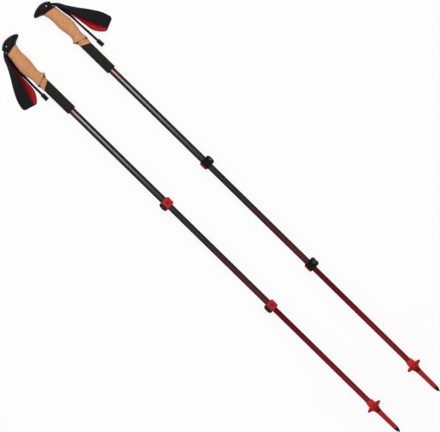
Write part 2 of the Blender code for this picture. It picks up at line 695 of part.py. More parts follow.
# ---- tip -------------------------------------------------------------------------------------
def make_tip(pole):
    prefix = pole["name"] + "_"
    frame = pole["frame"]
    plug_r = COLLAR_IN_R - SEAT_GAP
    shoulder = COLLAR_LOW - SEAT_GAP
    socket_r = TIP_STEM_R + SEAT_GAP
    socket_top = TIP_LENGTH + TIP_STEM_LENGTH + 2.0 * SEAT_GAP
    turned(prefix + "tip_ferrule", [
        (0.0, BASKET_TOP + FERRULE_PLUG_LENGTH),
        (plug_r, BASKET_TOP + FERRULE_PLUG_LENGTH),
        (plug_r, shoulder),
        (FERRULE_TOP_R, shoulder),
        (FERRULE_LOW_R + 0.55 * (FERRULE_TOP_R - FERRULE_LOW_R),
         COLLAR_LOW - FERRULE_TAPER_BREAK),
        (FERRULE_LOW_R, TIP_LENGTH + 1.1 * MM),
        (TIP_R, TIP_LENGTH),
        (socket_r, TIP_LENGTH),
        (socket_r, socket_top),
        (0.0, socket_top),
    ], "red_plastic", frame, TIP_LENGTH)
    turned(prefix + "tip_collar",
           tube_outline(COLLAR_OUT_R, COLLAR_IN_R, COLLAR_LOW, BASKET_TOP + SEAT_GAP),
           "dark_red_plastic", frame, COLLAR_LOW, hollow=True)
    rim = TIP_LENGTH - SEAT_GAP
    turned(prefix + "carbide_tip", [
        (0.0, TIP_LENGTH + TIP_STEM_LENGTH),
        (TIP_STEM_R, TIP_LENGTH + TIP_STEM_LENGTH),
        (TIP_STEM_R, rim),
        (TIP_R, rim),
        (TIP_R * 0.84, TIP_LENGTH * 0.55),
        (TIP_R * 0.40, TIP_LENGTH * 0.14),
        (TIP_R * 0.32, TIP_LENGTH * 0.02),
        (0.0, 0.0),
    ], "carbide", frame, 0.0, sides=SMALL_SIDES)


def make_basket(pole):
    """A hub that sits on the collar, with six short lobes that grow thinner outwards."""
    name = pole["name"] + "_basket"
    frame = pole["frame"]
    lobe_plane = BASKET_LOW + LOBE_ABOVE_BAND
    hub = BASKET_HUB_LENGTH
    root = LOBE_ROOT_THICKNESS / 2.0
    rim = LOBE_RIM_THICKNESS / 2.0
    outline = [
        (BASKET_BORE_R, BASKET_TOP),
        (HUB_TOP_R, BASKET_TOP),
        (HUB_TOP_R + 0.5 * (HUB_SHOULDER_R - HUB_TOP_R), BASKET_TOP - 0.15 * hub),
        (HUB_SHOULDER_R - 0.3 * MM, BASKET_TOP - 0.34 * hub),
        (HUB_SHOULDER_R, lobe_plane),
        (HUB_SHOULDER_R - 0.6 * MM, lobe_plane - root),
        (HUB_LOW_R, BASKET_LOW),
        (BASKET_BORE_R, BASKET_LOW),
    ]
    basket = turned(name, outline, "red_plastic", frame, BASKET_LOW, hollow=True)
    star = []
    for lobe in range(LOBES):
        middle = 2.0 * math.pi * lobe / LOBES
        for angle, radius in ((-LOBE_ROOT_ANGLE, LOBE_ROOT_R), (-LOBE_CORNER_ANGLE, LOBE_CORNER_R),
                              (0.0, LOBE_TIP_R), (LOBE_CORNER_ANGLE, LOBE_CORNER_R),
                              (LOBE_ROOT_ANGLE, LOBE_ROOT_R)):
            star.append((radius * math.cos(middle + angle), radius * math.sin(middle + angle)))
    hole = arc((0.0, 0.0), (BASKET_BORE_R + HUB_LOW_R) / 2.0, 0.0,
               2.0 * math.pi * (1.0 - 1.0 / ROUND_SIDES), ROUND_SIDES - 1)
    place = (-lobe_plane, 0.0, 0.0)
    mesh = outline_mesh(name + "_lobes", [star, hole], LOBE_ROOT_THICKNESS)
    lobes = as_cutter(name + "_lobes", mesh, frame, place, ACROSS_THE_POLE)
    lens = [(0.0, root), (LOBE_ROOT_R, root), (LOBE_RIM_R, rim), (LOBE_RIM_R, -rim),
            (LOBE_ROOT_R, -root), (0.0, -root)]
    taper = as_cutter(name + "_taper", turned_mesh(name + "_taper", lens, 0.0, False), frame,
                      place, UP_THE_POLE)
    turn(taper, ROUND_SIDES)
    combine(lobes, taper, "INTERSECT")
    combine(basket, lobes, "UNION")


# ---- lever locks -----------------------------------------------------------------------------
def clamp_outline(bore_r, round_r, rear):
    """The clamp across the pole: a split ring that ends in two ears at the rear."""
    ear_angle = math.asin(EAR_HALF_HEIGHT / round_r)
    slit_angle = math.asin(CLAMP_SLIT / 2.0 / bore_r)
    outline = [(rear, EAR_HALF_HEIGHT)]
    outline += arc((0.0, 0.0), round_r, math.pi - ear_angle, ear_angle - math.pi, 20)
    outline += [(rear, -EAR_HALF_HEIGHT), (rear, -CLAMP_SLIT / 2.0)]
    outline += arc((0.0, 0.0), bore_r, slit_angle - math.pi, math.pi - slit_angle, 24)
    outline += [(rear, CLAMP_SLIT / 2.0)]
    return outline


def make_clamp(name, lock, bore_r, round_r, pin_y):
    rear = pin_y - BOSS_R
    square_end = -(round_r + EAR_REACH)
    mesh = outline_mesh(name, [clamp_outline(bore_r, round_r, rear)], CLAMP_LENGTH / 2.0)
    clamp = as_part(name, mesh, "black_plastic", lock, rotation=ACROSS_THE_POLE)
    half = CLAMP_LENGTH / 2.0
    boss_start = math.asin((square_end - pin_y) / BOSS_R)
    plan = [(half + MM, 2.0 * round_r), (-half - MM, 2.0 * round_r), (-half - MM, square_end)]
    plan += arc((0.0, pin_y), BOSS_R, -math.pi - boss_start, boss_start, 10)
    plan += [(half + MM, square_end)]
    shape = outline_mesh(name + "_plan", [plan], 2.0 * round_r)
    combine(clamp, as_cutter(name + "_plan", shape, lock), "INTERSECT")
    hole = cylinder_mesh(name + "_hole", SCREW_R + RUNNING_GAP, 4.0 * EAR_HALF_HEIGHT, SMALL_SIDES)
    combine(clamp, as_cutter(name + "_hole", hole, lock, (0.0, pin_y, 0.0)), "DIFFERENCE")


def lever_outline(round_r, pin_y, pin_z, hub_r):
    """The lever across the pole, about its pin: a hub and an arm that wraps round the clamp."""
    inner = round_r + LEVER_GAP
    outer = inner + LEVER_THICKNESS
    outline = arc((0.0, 0.0), inner, LEVER_FREE_ANGLE, math.radians(115.0), 11)
    outline += arc((pin_y, pin_z), hub_r, math.radians(-60.0), math.radians(-290.0), 12)
    outline += arc((0.0, 0.0), outer, math.radians(112.0), LEVER_FREE_ANGLE, 11)
    return [(across - pin_y, up - pin_z) for across, up in outline]


def make_lever(name, hinge, round_r, pin_y, pin_z, hub_r):
    """The lever, with its origin on its pin's axis."""
    pin_hole = arc((0.0, 0.0), BARREL_R + RUNNING_GAP, 0.0,
                   2.0 * math.pi * (1.0 - 1.0 / SMALL_SIDES), SMALL_SIDES - 1)
    outline = lever_outline(round_r, pin_y, pin_z, hub_r)
    mesh = outline_mesh(name, [outline, pin_hole], LEVER_LENGTH / 2.0 + MM)
    lever = as_part(name, mesh, "red_plastic", hinge, rotation=ACROSS_THE_POLE)

    half = LEVER_LENGTH / 2.0
    front = round_r + LEVER_GAP + LEVER_THICKNESS - pin_y
    rear = -hub_r
    plan = [(half, rear + LEVER_HUB_CORNER), (half, front - LEVER_CORNER),
            (half - LEVER_FREE_CUT, front + MM), (LEVER_FREE_CUT - half, front + MM),
            (-half, front - LEVER_CORNER), (-half, rear + LEVER_HUB_CORNER),
            (LEVER_CORNER - half, rear - MM), (half - LEVER_CORNER, rear - MM)]
    shape = outline_mesh(name + "_plan", [plan], 3.0 * round_r)
    combine(lever, as_cutter(name + "_plan", shape, hinge), "INTERSECT")

    depth = 4.0 * hub_r
    reach = SCREW_R + 3.0 * RUNNING_GAP
    slot = box_mesh(name + "_slot", (LEVER_SLOT, depth, depth))
    combine(lever, as_cutter(name + "_slot", slot, hinge, (0.0, reach - depth / 2.0, 0.0)),
            "DIFFERENCE")

    top = round_r + LEVER_GAP + LEVER_THICKNESS
    dimple_z = math.sqrt(top ** 2 - DIMPLE_FORWARD ** 2) - DIMPLE_DEPTH - pin_z
    dimple = cylinder_mesh(name + "_dimple", DIMPLE_R, 4.0 * LEVER_THICKNESS, SMALL_SIDES)
    place = (0.0, DIMPLE_FORWARD - pin_y, dimple_z + 2.0 * LEVER_THICKNESS)
    combine(lever, as_cutter(name + "_dimple", dimple, hinge, place), "DIFFERENCE")


def make_barrel_nut(name, hinge):
    """The lever's pin, which is the tension screw's nut."""
    mesh = cylinder_mesh(name, BARREL_R, BARREL_LENGTH, SMALL_SIDES)
    barrel = as_part(name, mesh, "steel", hinge, rotation=UP_THE_POLE)
    hole = cylinder_mesh(name + "_thread", SCREW_R + RUNNING_GAP, 4.0 * BARREL_R, SMALL_SIDES)
    combine(barrel, as_cutter(name + "_thread", hole, hinge), "DIFFERENCE")


def make_tension_screw(name, lock, pin_y, pin_z):
    under_head = -(EAR_HALF_HEIGHT + SEAT_GAP)
    bottom = under_head - SCREW_HEAD
    edge = SCREW_HEAD_CHAMFER
    outline = [(0.0, pin_z + SCREW_PAST_PIN), (SCREW_R, pin_z + SCREW_PAST_PIN),
               (SCREW_R, under_head), (SCREW_HEAD_R, under_head), (SCREW_HEAD_R, bottom + edge),
               (SCREW_HEAD_R - edge, bottom), (SCREW_R, bottom),
               (SCREW_R, bottom + SCREW_HEAD / 2.0), (0.0, bottom + SCREW_HEAD / 2.0)]
    turned(name, outline, "steel", lock, 0.0, sides=SMALL_SIDES, rotation=(0.0, 0.0, 0.0),
           location=(0.0, pin_y, 0.0))


def make_lock(pole, label, station, tube_r, roll):
    """A lever lock round the end of a tube, turned about the pole by roll."""
    prefix = pole["name"] + "_" + label + "_"
    lock = frame_at(prefix + "lock", pole["frame"], (-station, 0.0, 0.0), (roll, 0.0, 0.0))
    bore_r = tube_r + SEAT_GAP
    round_r = bore_r + COLLAR_OF_CLAMP
    hub_r = BARREL_R + RUNNING_GAP + HUB_WALL
    pin_y = -(round_r + PIN_BEHIND_ROUND)
    pin_z = EAR_HALF_HEIGHT + SEAT_GAP + hub_r
    hinge = frame_at(prefix + "lever_hinge", lock, (0.0, pin_y, pin_z))
    make_clamp(prefix + "clamp", lock, bore_r, round_r, pin_y)
    make_lever(prefix + "lever", hinge, round_r, pin_y, pin_z, hub_r)
    make_barrel_nut(prefix + "barrel_nut", hinge)
    make_tension_screw(prefix + "tension_screw", lock, pin_y, pin_z)


# ---- the pair --------------------------------------------------------------------------------
def make_pole(name, pair, y, lift, strap_swing, tail_swing, lower_roll):
    turn_over = 0.0 if lift > 0 else math.pi
    frame = frame_at(name + "_pole", pair, (CROWN / 2.0, y, AXIS_HEIGHT), (turn_over, 0.0, 0.0))
    pole = {"name": name, "frame": frame, "lift": lift, "strap_swing": strap_swing,
            "tail_swing": tail_swing}
    make_pommel(pole)
    make_grip_pins(pole)
    make_strap_wedge(pole)
    make_strap_root(pole)
    make_cork_grip(pole)
    make_foam_grip(pole)
    make_strap(pole)
    make_shafts(pole)
    make_lock(pole, "upper", UPPER_LOCK, UPPER_TUBE_R, 0.0)
    make_lock(pole, "lower", LOWER_LOCK, MID_TUBE_R, lower_roll)
    make_tip(pole)
    make_basket(pole)


def stand_on_origin(pair):
    """Moves the pair so that the middle of its underside is at the world's origin."""
    bpy.context.view_layer.update()
    depsgraph = bpy.context.evaluated_depsgraph_get()
    lows = [math.inf] * 3
    highs = [-math.inf] * 3
    for part in PARTS.objects:
        if part.type != "MESH":
            continue
        solid = part.evaluated_get(depsgraph)
        mesh = solid.to_mesh()
        for vertex in mesh.vertices:
            place = solid.matrix_world @ vertex.co
            lows = [min(low, value) for low, value in zip(lows, place)]
            highs = [max(high, value) for high, value in zip(highs, place)]
        solid.to_mesh_clear()
    pair.location = (-(lows[0] + highs[0]) / 2.0, -(lows[1] + highs[1]) / 2.0, -lows[2])
    bpy.context.view_layer.update()


clear_scene()
PARTS = new_collection("Trekking poles")
CUTTERS = new_collection("Cutters")
PAIR = frame_at("pair", None)
make_pole("left", PAIR, -POLE_SPACING / 2.0, 1.0, 0.0, 0.0, 0.0)
make_pole("right", PAIR, POLE_SPACING / 2.0, -1.0, RIGHT_STRAP_SWING, RIGHT_TAIL_SWING,
          RIGHT_LOWER_LOCK_ROLL)
stand_on_origin(PAIR)
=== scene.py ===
"""A pair of trekking poles laid out on a pale floor: wrist straps, grips, finishes and stage.

The rigid pieces come from the fixed frame and are dressed on merged and smoothed copies. The
webbing with its lining and sewn ends, the loose tails with their tabs and the foam below the
cork are modelled here.

Metres, +Z up. Both poles lie along X with their tips towards +X. The straps' rows are given in
a pole's side view, in millimetres: below the crown, reach to the front, height.
"""
import json
import math

import bmesh
import bpy
from bpy.props import FloatProperty, FloatVectorProperty, PointerProperty
from bpy.types import Operator, Panel, PropertyGroup
from mathutils import Matrix, Vector


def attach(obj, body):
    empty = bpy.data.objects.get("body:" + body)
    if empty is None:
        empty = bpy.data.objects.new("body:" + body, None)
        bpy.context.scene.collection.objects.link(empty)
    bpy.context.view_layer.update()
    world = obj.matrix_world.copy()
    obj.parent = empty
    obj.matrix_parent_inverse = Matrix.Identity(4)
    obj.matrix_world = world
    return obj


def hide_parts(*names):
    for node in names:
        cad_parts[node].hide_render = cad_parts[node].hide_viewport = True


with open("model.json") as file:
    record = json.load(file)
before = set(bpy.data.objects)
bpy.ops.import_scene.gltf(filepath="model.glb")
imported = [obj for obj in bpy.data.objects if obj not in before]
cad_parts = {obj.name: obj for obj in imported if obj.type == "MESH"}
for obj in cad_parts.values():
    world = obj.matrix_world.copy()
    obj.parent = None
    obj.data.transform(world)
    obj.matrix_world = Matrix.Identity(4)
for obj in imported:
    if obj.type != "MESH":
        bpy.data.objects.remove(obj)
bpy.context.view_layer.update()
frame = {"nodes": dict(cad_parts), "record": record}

bl_info = {
    "name": "Trekking poles",
    "version": (1, 0, 0),
    "blender": (4, 5, 0),
    "location": "3D View > Sidebar > Poles",
    "description": "Finishes, wrist straps and stage for a pair of trekking poles",
    "category": "Object",
}

MM = 0.001
CROWN_X = -0.700              # where the pommels' crowns are
AXIS_Z = 0.018499             # how high both poles' axes lie
# side: where its axis lies across the floor, and +1 where its levers face up
POLES = {"left": (-0.076517, 1.0), "right": (0.066483, -1.0)}
LOCK_X = (-0.121, 0.2467)     # the middles of the upper and lower locks
# side: how far its wrist loop and its loose tail are swung open
SWINGS = {"left": (0.0, 0.0), "right": (math.radians(4.5), math.radians(2.2))}
HINGE = (23.2, -18.8)         # where a strap swings, in the side view
NODES = frame["nodes"]
BODY_OF = {node: body for body, nodes in frame["record"]["behaviour"]["bodies"].items()
           for node in nodes}

# Lower and upper edge of the wrist loop, from the pommel out, round the fold and back.
LOOP_ROWS = (
    ((22.4, -16.4, -9.2), (22.4, -16.4, 9.2)),
    ((23.4, -21.0, -9.5), (23.4, -18.8, 9.2)),
    ((33.0, -28.0, -11.8), (33.5, -20.6, 8.0)),
    ((50.0, -35.5, -15.0), (50.0, -25.6, 5.0)),
    ((75.0, -49.5, -17.4), (73.0, -31.5, 2.5)),
    ((100.0, -65.0, -17.9), (100.0, -38.0, 1.0)),
    ((126.0, -78.5, -17.9), (126.0, -44.5, 0.6)),
    ((148.0, -84.6, -17.9), (151.0, -52.0, 0.6)),
    ((157.0, -83.0, -17.9), (163.5, -55.8, 0.6)),
    ((160.0, -75.5, -17.9), (169.0, -52.0, 0.6)),
    ((156.5, -64.0, -17.9), (165.5, -45.5, 0.6)),
    ((148.5, -55.0, -17.9), (152.0, -35.0, 0.6)),
    ((136.0, -49.0, -17.9), (138.0, -29.4, 0.6)),
    ((118.0, -43.5, -17.9), (118.0, -27.8, 0.8)),
    ((95.0, -38.5, -17.9), (95.0, -26.8, 1.2)),
    ((72.0, -34.0, -16.8), (72.0, -25.2, 2.6)),
    ((50.0, -27.6, -14.4), (50.0, -21.4, 5.2)),
    ((34.0, -21.8, -11.5), (34.0, -17.6, 8.0)),
    ((25.8, -19.0, -9.8), (25.8, -17.2, 9.0)),
)
LINED = (4.1, 15.5)           # the lining starts and ends at these rows
TAIL_ROWS = (
    ((27.0, -16.9, -8.0), (27.0, -16.9, 7.0)),
    ((50.0, -24.6, -12.5), (50.0, -17.7, 2.5)),
    ((75.0, -27.0, -16.4), (75.0, -21.1, -1.6)),
    ((100.0, -26.0, -17.6), (100.0, -21.0, -3.2)),
    ((130.0, -26.4, -17.6), (130.0, -20.8, -3.6)),
    ((161.0, -26.4, -17.6), (161.0, -20.6, -3.6)),
)
# side: how far the tail's upper edge leans to the grip, and how much longer the tail is
TAIL_SHAPES = {"left": (2.8, 1.0), "right": (0.0, 1.035)}
TAIL_LEAN = (0.7, 1.0, 1.0, 0.6, 0.0, 0.0)    # the share of that lean at each row
TAB_SIZE = (0.0195, 0.0110, 0.0140)
GROOVES = (-0.0032, 0.0, 0.0032)              # the tab's finger grooves, from its middle
GROOVE_CUTS = (-0.0009, -0.0003, 0.0003, 0.0009)
GROOVE_HALF = 0.0005          # what lies this near to a groove's middle is drawn in
GROOVE_SHARE = 0.86           # to this share of the tab's thickness
PIN = (15.0, 0.0)             # the strap pin, in the side view
PIN_REACH = 2.4               # from the pin's middle to the webbing round it
ROOT_ENDS = ((20.0, -15.3), (23.4, -14.9))    # both ends of that webbing
ROOT_SIDE = 9.3               # half its width
# Where the runs of webbing are sewn together at the slot's mouth.
SEWN_END = ((19.3, -8.0), (22.6, -8.0), (25.2, -11.2), (27.6, -14.1), (27.7, -15.3),
            (31.0, -15.6), (31.4, -17.8), (27.6, -20.2), (22.4, -19.9), (20.7, -17.8),
            (19.4, -15.4), (18.9, -12.6))
SEWN_WIDTH = 0.0180

# Seams of the grip in the side view: front and rear end.
POMMEL_END = ((25.7, 21.4), (31.3, -14.5))
CORK_END = ((146.2, 13.0), (159.8, -13.0))
FOAM_LOW = 244.1              # the foam's low end, below the crown
BEAK_FROM = 0.033             # the pommel is rounded from this reach on
SEAM_GAP = 0.0003             # between pommel and cork in the frame, and cork and foam here
WEDGE_TOP = CROWN_X + 0.0112
WEDGE_RISE = 0.00035

# Where finishes change, in metres: along X, or out from a pole's own axis.
CREST = (-0.5712, 0.021)      # a point of the cork's crest: along, to the front
CREST_SQUARE = (0.9526, 0.3041)
# painted shade on the lining, towards the pommel
LINING_SHADE = (-0.665, -0.535)
LEVER_HUB = (-0.0084, -0.0076)
DIMPLE_REACH = 0.0032
DIMPLE_SHADE_EDGE = (0.0024, 0.0044)
BASKET_LOW_SHADE = (0.6115, 0.6170)
BASKET_RIM = (0.0140, 0.0200)
TUBE_SIDE_SHADE = (0.0035, 0.0080)
PRINT_AND_HIGHLIGHT_EDGE = (0.0006, 0.0030)
UPPER_TINT = (-0.456, -0.405)
UPPER_PRINT_AND_HIGHLIGHT = (-0.47, -0.10)
MIDDLE_STEPS = ((0.030, 0.046), (0.06, 0.20))
LOWER_STEPS = ((0.26, 0.56),)
STITCH = 0.0034               # from one stitch to the next

CAD_SMOOTH = math.radians(36.0)
SMOOTH = math.radians(40.0)
SHARP = math.radians(50.0)    # edges that are rounded

CAMERA_OVER = (-0.0036, -0.0052)
CAMERA_TURN = math.radians(44.39)
SENSOR = 36.0
BLACK = (0.0, 0.0, 0.0)
WHITE = (1.0, 1.0, 1.0, 1.0)


# ---- shader expressions ----------------------------------------------------------------------
class Value:
    """A shader socket that takes part in Python expressions."""

    def __init__(self, finish, socket):
        self.finish = finish
        self.socket = socket

    def maths(self, operation, *terms):
        return self.finish.node("ShaderNodeMath", {"operation": operation},
                                dict(enumerate(terms)))

    def __add__(self, other):
        return self.maths("ADD", self, other)

    def __sub__(self, other):
        return self.maths("SUBTRACT", self, other)

    def __rsub__(self, other):
        return self.maths("SUBTRACT", other, self)

    def __mul__(self, other):
        return self.maths("MULTIPLY", self, other)

    def __truediv__(self, other):
        return self.maths("DIVIDE", self, other)

    def __pow__(self, other):
        return self.maths("POWER", self, other)

    def __gt__(self, other):
        return self.maths("GREATER_THAN", self, other)

    def __lt__(self, other):
        return self.maths("LESS_THAN", self, other)

    def __abs__(self):
        return self.maths("ABSOLUTE", self)

    __radd__ = __add__
    __rmul__ = __mul__

    def fraction(self):
        return self.maths("FRACT", self)

    def floor(self):
        return self.maths("FLOOR", self)

    def at_least(self, other):
        return self.maths("MAXIMUM", self, other)

    def at_most(self, other):
        return self.maths("MINIMUM", self, other)

    def wave(self):
        """A sine of the value in turns, from 0 to 1."""
        return self.maths("SINE", self * (2.0 * math.pi)) * 0.5 + 0.5

    def rise(self, low, high):
        """0 below low, 1 above high, and smooth between."""
        return self.finish.node("ShaderNodeMapRange", {"interpolation_type": "SMOOTHSTEP"},
                                {"Value": self, "From Min": low, "From Max": high})


class Finish:
    """One material. Every node comes from node(), and values are combined as expressions.

    constants are sockets of the shader that are the same all over, such as specular_ior_level.
    """

    def __init__(self, name, colour, roughness, metallic=0.0, **constants):
        self.material = bpy.data.materials.new(name)
        self.material.use_nodes = True
        self.tree = self.material.node_tree
        self.shader = self.tree.nodes["Principled BSDF"]
        self.set("Base Color", (*colour, 1.0))
        self.set("Roughness", roughness)
        self.set("Metallic", metallic)
        for label, value in constants.items():
            self.set(label.replace("_", " ").title().replace("Ior", "IOR"), value)

    def node(self, kind, settings=None, inputs=None, output=0):
        node = self.tree.nodes.new(kind)
        for key, value in (settings or {}).items():
            if key == "stops":
                ramp = node.color_ramp
                while len(ramp.elements) < len(value):
                    ramp.elements.new(0.5)
                for element, (position, colour) in zip(ramp.elements, value):
                    element.position = position
                    element.color = (*colour, 1.0)
            else:
                setattr(node, key, value)
        for key, value in (inputs or {}).items():
            self.feed(node.inputs[key], value)
        return Value(self, node.outputs[output])

    def feed(self, socket, value):
        if isinstance(value, Value):
            self.tree.links.new(value.socket, socket)
        else:
            socket.default_value = value

    def set(self, label, value):
        self.feed(self.shader.inputs[label], value)

    def place(self):
        return self.node("ShaderNodeTexCoord", output="Object")

    def uv(self, layer):
        return self.node("ShaderNodeUVMap", {"uv_map": layer})

    def split(self, vector):
        node = self.node("ShaderNodeSeparateXYZ", inputs={0: vector}).socket.node
        return [Value(self, output) for output in node.outputs]

    def stretched(self, vector, scale):
        return self.node("ShaderNodeVectorMath", {"operation": "MULTIPLY"},
                         {0: vector, 1: scale})

    def noise(self, vector, size, detail=2.0):
        """Noise with features of a size in metres."""
        return self.node("ShaderNodeTexNoise", inputs={"Vector": vector, "Scale": 1.0 / size,
                                                       "Detail": detail}, output="Fac")

    def wavered(self, vector, size, reach):
        """The vector pushed about by noise, by up to half a reach in metres."""
        noise = self.node("ShaderNodeTexNoise", inputs={"Vector": vector, "Scale": 1.0 / size},
                          output="Color")
        return self.node("ShaderNodeVectorMath", {"operation": "MULTIPLY_ADD"},
                         {0: noise, 1: (reach, reach, reach), 2: vector})

    def front_of(self, across):
        """How far a place lies to the front of its own pole's axis."""
        left, right = POLES["left"][0], POLES["right"][0]
        return (right - left) / 2.0 - abs(across - (left + right) / 2.0)

    def stitches(self, along, edge, inset, half_width):
        """A row of stitches along a band, in from its edges."""
        return (abs(edge - inset) < half_width) * ((along / STITCH).fraction() < 0.7)

    def cells(self, vector, size, feature="F1", output="Distance"):
        """Rounded cells of a size in metres."""
        return self.node("ShaderNodeTexVoronoi", {"feature": feature},
                         {"Vector": vector, "Scale": 1.0 / size}, output)

    def ramp(self, value, stops):
        return self.node("ShaderNodeValToRGB", {"stops": stops}, {0: value}, "Color")

    def mix(self, factor, first, second, blend="MIX"):
        """Two colours mixed: a colour is a Value or three numbers."""
        first, second = (colour if isinstance(colour, Value) else (*colour, 1.0)
                         for colour in (first, second))
        return self.node("ShaderNodeMix", {"data_type": "RGBA", "blend_type": blend},
                         {0: factor, 6: first, 7: second}, 2)

    def bump(self, height, depth, strength=0.6):
        self.set("Normal", self.node("ShaderNodeBump", inputs={
            "Strength": strength, "Distance": depth, "Height": height}, output="Normal"))


def shade(colour, *factors):
    """A colour times one factor, or each channel times its own."""
    if len(factors) == 1:
        factors *= 3
    return tuple(min(1.0, channel * factor) for channel, factor in zip(colour, factors))


# ---- finishes --------------------------------------------------------------------------------
def cork_finish(settings):
    """Pressed cork: pale and pinkish granules, a few dark flecks, and painted shade below the
    crest.
    """
    base = settings.cork
    finish = Finish("cork", base, 0.8, specular_ior_level=0.25)
    place = finish.place()
    along, across, _ = finish.split(place)
    loose = finish.wavered(place, 0.0011, 0.0016)
    grain = finish.split(finish.cells(loose, settings.granule, output="Color"))[0]
    fine = finish.noise(place, 0.0009, 4.0)
    granules = finish.ramp(grain * 0.72 + fine * 0.28, (
        (0.0, shade(base, 0.60, 0.48, 0.42)), (0.22, shade(base, 0.86, 0.80, 0.76)),
        (0.50, base), (0.85, shade(base, 1.14, 1.22, 1.32))))
    patch = finish.noise(place, 0.014, 3.0).rise(0.40, 0.66)
    pink = finish.mix(0.55, granules, (1.0, 0.84, 0.90), "MULTIPLY")
    body = finish.mix(patch, granules, pink)
    small = settings.granule * 0.8
    fleck = finish.split(finish.cells(loose, small, output="Color"))[1]
    spots = finish.cells(loose, small)
    dark = (fleck > 0.93) * (spots < 0.42)
    body = finish.mix(dark * 0.75, body, shade(base, 0.22))

    # Painted shade just below the slanted crest, darkest at its front and rear.
    front = finish.front_of(across)
    below = (along - CREST[0]) * CREST_SQUARE[0] + (front - CREST[1]) * CREST_SQUARE[1]
    edge = front.rise(0.002, 0.016).at_least(1.0 - front.rise(-0.014, -0.006))
    crest_shade = below.rise(0.0002, 0.0010) * (1.0 - (below - edge * 0.0035).rise(0.0018, 0.0056))
    finish.set("Base Color", finish.mix(crest_shade * (0.42 + edge * 0.55), body,
                                        shade(base, 0.12, 0.06, 0.03)))
    seam = finish.cells(loose, settings.granule, "DISTANCE_TO_EDGE").rise(0.0, 0.10)
    finish.set("Roughness", 0.86 - seam * 0.12)
    finish.bump(seam + finish.noise(place, 0.0006) * 0.5 - dark * 0.8, 0.00018)
    return finish.material


def foam_finish(settings):
    """Closed-cell foam: fine pores, and slightly paler patches."""
    base = settings.foam
    finish = Finish("foam", base, 0.9, specular_ior_level=0.15)
    place = finish.place()
    pores = finish.cells(place, 0.0009)
    mottle = finish.noise(place, 0.006, 4.0)
    finish.set("Base Color", finish.mix(mottle.rise(0.35, 0.7), base, shade(base, 1.35)))
    finish.set("Roughness", 0.84 + pores * 0.12)
    finish.bump(pores.rise(0.05, 0.5), 0.00022, 0.7)
    return finish.material


def moulded(name, colour, roughness, grain=0.0011, gloss=0.12):
    """Moulded plastic with a fine spark-eroded grain: the finish, its place and its colour."""
    finish = Finish(name, colour, roughness, specular_ior_level=gloss)
    place = finish.place()
    texture = finish.noise(place, grain, 3.0)
    cloud = finish.noise(place, 0.018)
    finish.set("Roughness", roughness - 0.05 + texture * 0.06 + cloud * 0.05)
    tone = finish.mix(cloud.rise(0.35, 0.7), shade(colour, 0.94), shade(colour, 1.08))
    finish.bump(texture, 0.00004, 0.5)
    return finish, place, tone


def moulded_finish(name, colour, roughness, **sizes):
    finish, _, tone = moulded(name, colour, roughness, **sizes)
    finish.set("Base Color", tone)
    return finish.material


def lever_finish(settings):
    """Red levers with a black hub, and painted shade in the thumb dimple on each."""
    finish, place, tone = moulded("lever_plastic", settings.lever, 0.42, grain=0.0012)
    along, across, _ = finish.split(place)
    reach = finish.front_of(across)
    hub = 1.0 - reach.rise(*LEVER_HUB)
    upper, lower = (abs(along - lock) for lock in LOCK_X)
    # Painted shade in each lever's thumb dimple.
    distance = (upper.at_most(lower) ** 2.0 + (reach - DIMPLE_REACH) ** 2.0) ** 0.5
    dimple_shade = 1.0 - distance.rise(*DIMPLE_SHADE_EDGE)
    colour = finish.mix(dimple_shade * 0.9, tone, (settings.lever[0] * 0.42, 0.001, 0.001))
    finish.set("Base Color", finish.mix(hub, colour, settings.clamp))
    return finish.material


def basket_finish(settings):
    """Red plastic, with painted shade at the hub's lower end, and darker at the lobes' rims."""
    finish, place, tone = moulded("basket_plastic", settings.basket, 0.45)
    along, across, up = finish.split(place)
    out = (finish.front_of(across) ** 2.0 + (up - AXIS_Z) ** 2.0) ** 0.5
    rim = out.rise(*BASKET_RIM) * 0.75
    # Painted shade at the hub's lower end; the lobes' rims are darkened too.
    finish.set("Base Color", finish.mix(along.rise(*BASKET_LOW_SHADE).at_least(rim), tone,
                                        shade(settings.basket, 0.36, 0.25, 0.25)))
    return finish.material


def woven_finish(name, colour, highlight, yarn, stitched):
    """Webbing: warp yarns along the band, crossed by the weft, with stitched edges, and painted
    shade between the yarns.
    """
    finish = Finish(name, colour, 0.85, specular_ior_level=0.12)
    along, across, _ = finish.split(finish.uv("UVMap"))
    lane = across / yarn
    crest = (1.0 - abs(lane.fraction() - 0.5) * 2.0).rise(0.0, 0.8)
    turn = (along / (yarn * 2.2) + lane.floor() * 0.5).wave()
    height = crest * (0.45 + turn * 0.55)
    worn = finish.noise(finish.place(), 0.009, 3.0)
    # Painted shade between the yarns and painted highlights on their crests: the colour follows
    # the weave's height.
    colour_map = finish.mix(height * 0.8, shade(colour, 0.55), shade(colour, 1.25))
    colour_map = finish.mix(worn.rise(0.45, 0.8) * 0.35, colour_map, highlight)
    if stitched:
        edge, inset = finish.split(finish.uv("Edge"))[1], 0.0024
        thread = finish.stitches(along, edge, inset, 0.00035)
        colour_map = finish.mix(thread * 0.8, colour_map, highlight)
        height = height * (1.0 - (abs(edge - inset) < 0.0007) * 0.6) + thread * 1.2
    finish.set("Base Color", colour_map)
    finish.set("Roughness", 0.92 - height * 0.12)
    finish.bump(height, 0.00025, 0.7)
    return finish.material


